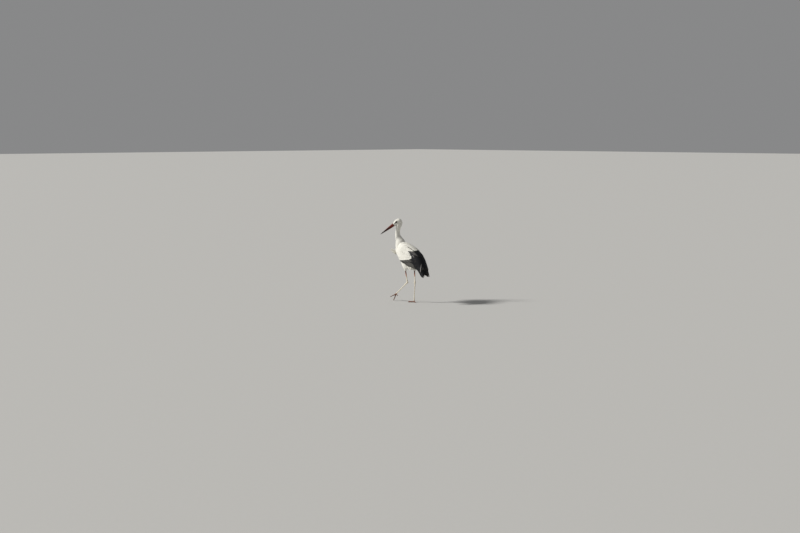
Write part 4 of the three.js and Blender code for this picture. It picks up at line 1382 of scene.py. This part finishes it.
# Grey feathers along the groove below the scapulars, partly slate feathers that show there and partly
# painted shade of the groove: their shares, and their tips by the share.
GROOVE_FEATHERS = 6
GROOVE = (
    np.linspace(0.195, 0.170, GROOVE_FEATHERS),
    (np.linspace(0.170, 0.195, GROOVE_FEATHERS), np.linspace(262, 195, GROOVE_FEATHERS)),
)

# Grey tertials that lie askew over the others, their grey webs painted sheen: rows as wing_feathers has
# them.
ASKEW_TERTIALS = np.array([
    (0.471, 0.70, 0.121, 0.66, 0.0072, -0.001, 0.0055, 0.0004, 0.3, 0.95),
    (0.452, 0.37, 0.046, 0.50, 0.0036, -0.001, 0.0040, 0.0004, 0.2, 0.85),
    (0.306, 0.40, 0.060, 0.30, 0.0060, -0.002, 0.0035, 0.0008, 0.3, 0.75),
])


def add_wing(word, materials, seed):
    """All the feathers of one folded wing, the primaries lowest and the scapulars on top."""
    white, slate, black = materials
    draw = np.random.default_rng(seed)
    chart = WingChart(word)
    seeds = iter(range(seed + 1, seed + 10))

    def border(f):
        return float(chart.border(FLESH_GROUPS, np.array([f]), blur=6)[0]) / MM

    def lay(part, plan, material, rings, across=9, thick=0.8, soft=0.3):
        node = f"wing_{word}_{part}"
        replaced = [node] if node in nodes and part not in FLESH_GROUPS else []
        wing_feathers(chart, f"{part}_{word}", plan, material, replaced, rings, across, next(seeds), thick,
                      soft)

    lay("primaries", flight_plan(np.linspace(0.04, 0.98, 10), PRIMARY_TIPS, lambda f: 235 - 20 * f,
                                 15.0, -9.5, -3.5, 2.6, 0.16, draw), black, 22)
    lay("secondaries", flight_plan(np.linspace(0.56, 0.985, 9), SECONDARY_TIPS,
                                   lambda f: np.interp(f, *SECONDARY_TIPS) - border(f) + 35,
                                   15.0, -8.0, -3.6, 2.8, 0.5, draw), slate, 20)
    lay("tertials", flight_plan(np.linspace(0.02, 0.70, 10), TERTIAL_TIPS,
                                lambda f: np.interp(f, *TERTIAL_TIPS) - border(f) + 40,
                                17.0, -6.5, 0.5, 2.8, 0.55, draw), black, 22)
    shares = np.arange(0.02, 0.60, 0.062)
    tips = (shares, [border(f) + 74 - 20 * f for f in shares])
    # Two of the black tertial coverts get painted sheen on their grey webs.
    lay("tertial_coverts", flight_plan(shares, tips, lambda f: 118, 14.5, -5.0, 0.8, 2.0, 0.45, draw,
                                       turn=0.05, grey_webbed=(3, 4)), black, 16, thick=0.7)
    shares = np.arange(0.50, 1.02, 0.040)
    tips = (shares, [border(f) + 48 for f in shares])
    lay("greater_coverts", flight_plan(shares, tips, lambda f: 92, 12.0, -5.5, -1.6, 1.8, 0.4, draw,
                                       turn=0.12), slate, 15, thick=0.7)
    lay("coverts", covert_plan(chart, draw), white, 10, across=7, thick=0.5, soft=0.45)
    lay("scapulars", scapular_plan(chart, draw), white, 14, across=7, thick=0.5, soft=0.4)
    # The groove feathers are partly painted shade of the groove.
    lay("groove", flight_plan(*GROOVE, lambda f: 48, 4.2, -2.0, 4.8, 0.4, 0.2, draw,
                              grey_webbed=range(GROOVE_FEATHERS)), slate, 10, across=5, thick=0.5)
    lay("askew", ASKEW_TERTIALS, black, 16, across=7, thick=0.5)
    return chart


def under_wing(charts, points):
    """Which points lie under the coverts and scapulars, where no contour feathers grow."""
    places = []
    for chart in charts:
        front = chart.border(FLESH_GROUPS, chart.f, last=False, blur=3)
        shown = (chart.f >= -0.02) & (chart.f <= 0.985)
        for i in range(0, CHART_ROWS, 2):
            for j in np.flatnonzero(shown & (chart.s[i] > front + UNDER_START)):
                places.append(chart.grid[i, j] - UNDER_DEPTH * chart.normal[i, j])
    tree = KDTree(len(places))
    for number, place in enumerate(places):
        tree.insert(Vector(place), number)
    tree.balance()
    return np.array([tree.find(Vector(point))[2] < UNDER_REACH for point in points])


# The tail's middle line from root to tip, in millimetres: y, z and its half width.
TAIL_LINE = [(70, 482, 10), (92, 462, 13), (118, 420, 18), (146, 370, 23), (163, 341, 25), (169, 329, 25)]
TAIL_FEATHERS, TAIL_HALF_WIDTH, TAIL_LENGTH = 12, 9.5 * MM, 190 * MM


def add_tail(material):
    """Straight white feathers side by side, the middle ones on top."""
    draw = np.random.default_rng(41)
    rings = 16
    t = np.linspace(0, 1, rings)
    table = np.array(TAIL_LINE, float)
    y, z, half = (np.interp(t, np.linspace(0, 1, len(table)), column) for column in table.T)
    ahead = unit(np.stack([0 * t, np.gradient(y), np.gradient(z)], 1))
    up = unit(np.cross(np.array((1.0, 0, 0)), ahead))
    place, wide = [], []
    for k in range(TAIL_FEATHERS):
        across = (k - (TAIL_FEATHERS - 1) / 2) / ((TAIL_FEATHERS - 1) / 2)
        rise = 2.6 * (1 - abs(across)) - 1.2 + 0.12 * np.sign(across)
        line = np.stack([half * across, y, z], 1) + up * rise
        line[-1] -= ahead[-1] * (3 * abs(across) + draw.uniform(0, 1.5))
        place.append(line * MM)
        wide.append(TAIL_HALF_WIDTH * np.sqrt(1 - t**7 * 0.97) * (0.45 + 0.55 * np.minimum(t / 0.3, 1)))
    place, wide = np.array(place), np.array(wide)
    normal = np.broadcast_to(up, place.shape)
    top = blade(place, normal, np.zeros(wide.shape), wide, 7, 0.07)
    uv = np.stack([np.linspace(0.1, 0.9, TAIL_FEATHERS), np.full(TAIL_FEATHERS, 0.5)], 1)
    build_vanes("tail_feathers", top, np.broadcast_to(normal[:, :, None], top.shape), 0.2,
                np.full(TAIL_FEATHERS, 0.7 * MM), uv, draw.random(TAIL_FEATHERS),
                np.full(TAIL_FEATHERS, TAIL_LENGTH), np.full(TAIL_FEATHERS, TAIL_HALF_WIDTH), material,
                slot_of(material), ["tail"])


# ---------------------------------------------------------------- putting it together


def add_skin():
    """The skin of the body, head and legs in one piece. Returns the body's and the head's."""
    points, quads, depth, owner = shrunk_skin(COAT_DEPTH, BODY_VOXEL, BODY_ROUNDS)
    body_parts = kept_part(points, quads, points[:, 2] < HEAD_JOIN + SKIN_LAP, depth, owner)
    points, quads, depth, owner = shrunk_skin(HEAD_DEPTH, HEAD_VOXEL, HEAD_ROUNDS, HEAD_LAST_ROUNDS)
    points = shape_head(points, normals_of(points, quads))
    head_parts = kept_part(points, quads, points[:, 2] > HEAD_JOIN - SKIN_LAP)
    head_down = kept_part(points, quads, points[:, 2] > HEAD_JOIN - TUFT_ROOM, depth, owner)
    leg_points, leg_quads, scute, limb = make_leg_skin()
    lids = [loft(lid_rings(side), closed=False)[:2] for side in (1, -1)]
    pieces = [body_parts[:2], head_parts, *lids, (leg_points, leg_quads)]
    counts = np.cumsum([0, *(len(piece[0]) for piece in pieces)])
    all_points = np.concatenate([piece[0] for piece in pieces])
    all_quads = np.concatenate([piece[1] + start for piece, start in zip(pieces, counts)])
    mesh = mesh_from("skin", all_points, all_quads)
    face = face_share(all_points)
    face[counts[2]:counts[4]] = 1.0  # the lids
    face[counts[4]:] = 0.0
    add_values(mesh, "face", face)
    limbs, scales = np.zeros(len(all_points)), np.zeros(len(all_points))
    limbs[counts[4]:], scales[counts[4]:] = limb, scute
    add_values(mesh, "limb", limbs)
    add_values(mesh, "scute", scales)
    bare = (all_quads[:, 0] >= counts[4]).astype(np.int32)
    materials = [body_material(), leg_material()]
    add_object("skin", mesh, materials, [*COAT_DEPTH, "head", *LEG_NODES])
    mesh.polygons.foreach_set("material_index", bare)
    body = Surface(*body_parts[:3], BODY_LIE_ROUNDS)
    head = Surface(*head_down[:3], HEAD_LIE_ROUNDS)
    return (body, body_parts[3]), (head, head_down[3])


def add_contour_coat(body, head, charts, material):
    """Contour feathers over everything but the wings, the bill and the bare face."""
    surface, owner = body
    centres = surface.points[surface.quads].mean(1)
    owner = owner[surface.quads[:, 0]]
    bare = under_wing(charts, centres)
    regions = {"neck": ("neck_middle", "neck_lower"), "thighs": ("thigh_left", "thigh_right")}
    taken = np.zeros(len(centres), bool)
    for number, (name, names) in enumerate(regions.items()):
        here = np.isin(owner, names) & ~bare & (centres[:, 2] < HEAD_JOIN)
        taken |= np.isin(owner, names)
        roots = scattered(surface, here, 11 + number)
        coat_of_tufts(f"coat_{name}", surface, roots, material, 21 + number)
    coat_of_tufts("coat_body", surface, scattered(surface, ~taken & ~bare, 14), material, 24)
    surface, owner = head
    centres = surface.points[surface.quads].mean(1)
    back = in_head(centres)[0]
    covered = np.maximum(face_share(centres, 0.6), face_share(centres + 3.5 * MM * HEAD_BACK))
    feathered = (covered < 0.5) & (back > -1.5)
    on_head = np.isin(owner[surface.quads[:, 0]], ("head",))
    for number, (name, here) in enumerate({"head": on_head, "nape": ~on_head}.items()):
        above = centres[:, 2] > HEAD_JOIN - 5 * MM
        roots = scattered(surface, here & feathered & above, 15 + number)
        coat_of_tufts(f"coat_{name}", surface, roots, material, 25 + number)


# The lower foreneck's middle and its radius, by height, in millimetres.
FORENECK = {"height": (590, 634, 674, 712), "y": (-208, -218, -235, -249), "radius": (62, 60, 43, 30)}
FORENECK_PLUMES, WISP_PLUMES, VENT_PLUMES = 150, 28, 230
WISP_ROOT = np.array((30.0, -246.0, 525.0)) * MM
WISP_TIP = np.array((60.0, -296.0, 570.0)) * MM
WISP_FACING = np.array((0.85, 0.13, 0.52))
VENT_HEIGHT = 402  # millimetres, of the roots round the vent


def add_foreneck_plumes(surface, material, draw):
    """The long plumes of the lower foreneck, laid on the coat."""
    count = FORENECK_PLUMES
    height = draw.uniform(592, 690, count)
    turn = draw.normal(0, 0.75, count)
    centre_y, radius = (np.interp(height, FORENECK["height"], FORENECK[key]) for key in ("y", "radius"))
    roots = np.stack([np.sin(turn) * radius, centre_y - np.cos(turn) * radius, height], 1) * MM
    length = draw.uniform(55, 85, count) * MM
    steps = len(PLUME_OUTLINE) - 1
    place, normal, depth = march(surface, roots, length, draw.normal(0, 0.05, count), steps)
    a = np.linspace(0, 1, steps + 1)
    rise = (-0.2 + 1.35 * a**0.8)[None] * depth * draw.uniform(0.9, 1.12, (count, 1))
    wide = draw.uniform(2.4, 3.4, count) * MM
    top = blade(place, normal, rise, wide[:, None] * PLUME_OUTLINE[None], 3, 0.2)
    _, _, tract, along = lie_at(roots)
    build_vanes("foreneck_plumes", top, np.broadcast_to(normal[:, :, None], top.shape), 0.6,
                np.zeros(count), bake_places(roots, tract, along), draw.random(count), length, wide,
                material, slot_of(material))


def add_plumes(surface, material):
    """Plumes that stand off the coat: on the foreneck, in front of the breast and round the vent."""
    draw = np.random.default_rng(51)
    add_foreneck_plumes(surface, material, draw)
    count = WISP_PLUMES
    roots = WISP_ROOT + draw.normal(0, 1, (count, 3)) * np.array((7, 4, 11)) * MM
    share = draw.uniform(0.55, 1.0, count)[:, None]
    tips = roots + (WISP_TIP - WISP_ROOT) * share + draw.normal(0, 5, (count, 3)) * MM
    wide = draw.uniform(5.5, 8.0, count) * MM
    hanging_plumes("breast_wisp", surface, roots, tips, WISP_FACING, wide, material, 52)
    count = VENT_PLUMES
    across, back, drop = draw.uniform((-50, -85, 28), (60, 6, 48), (count, 3)).T
    roots = np.stack([across, back, np.full(count, VENT_HEIGHT)], 1) * MM
    tips = roots + np.stack([draw.normal(0, 3, count), 0.35 * drop, -drop], 1) * MM
    facing = np.stack([np.where(across > 5, 0.9, -0.9), np.full(count, 0.1), np.full(count, 0.42)], 1)
    wide = draw.uniform(3.2, 4.8, count) * MM
    hanging_plumes("vent_plumes", surface, roots, tips, facing, wide, material, 53)


add_stage()
add_camera()
add_sun()
white_vane = feather_material("white_vane", WHITE, WHITE_SHADE, 0.8)
# The black vanes' grey web is painted sheen.
black_vane = feather_material("black_vane", BLACK, BLACK_SHADE, 0.5, fringe=(0.05, 0.045, 0.04),
                              grey_web=SHEEN_GREY, web_tones=(0.55, 0.75))
slate_vane = feather_material("slate_vane", SLATE, SLATE_SHADE, 0.55,
                              grey_web=SLATE_WEB, web_tones=(-1.0, 1.0))
body, head = add_skin()
charts = [add_wing(word, (white_vane, slate_vane, black_vane), 60 + 10 * k) for k, word in enumerate(SIDES)]
add_tail(white_vane)
add_contour_coat(body, head, charts, white_vane)
add_plumes(body[0], white_vane)
horn = bill_material()
add_mandible("mandible_upper", 1, 18.0, 2.2, BILL_LENGTH, horn)
add_mandible("mandible_lower", -1, 16.0, 1.2, BILL_LENGTH - LOWER_SHORTER, horn)
eye = eye_material()
add_eye(1, "left", eye)
add_eye(-1, "right", eye)
add_claws(claw_material())

bpy.context.view_layer.update()
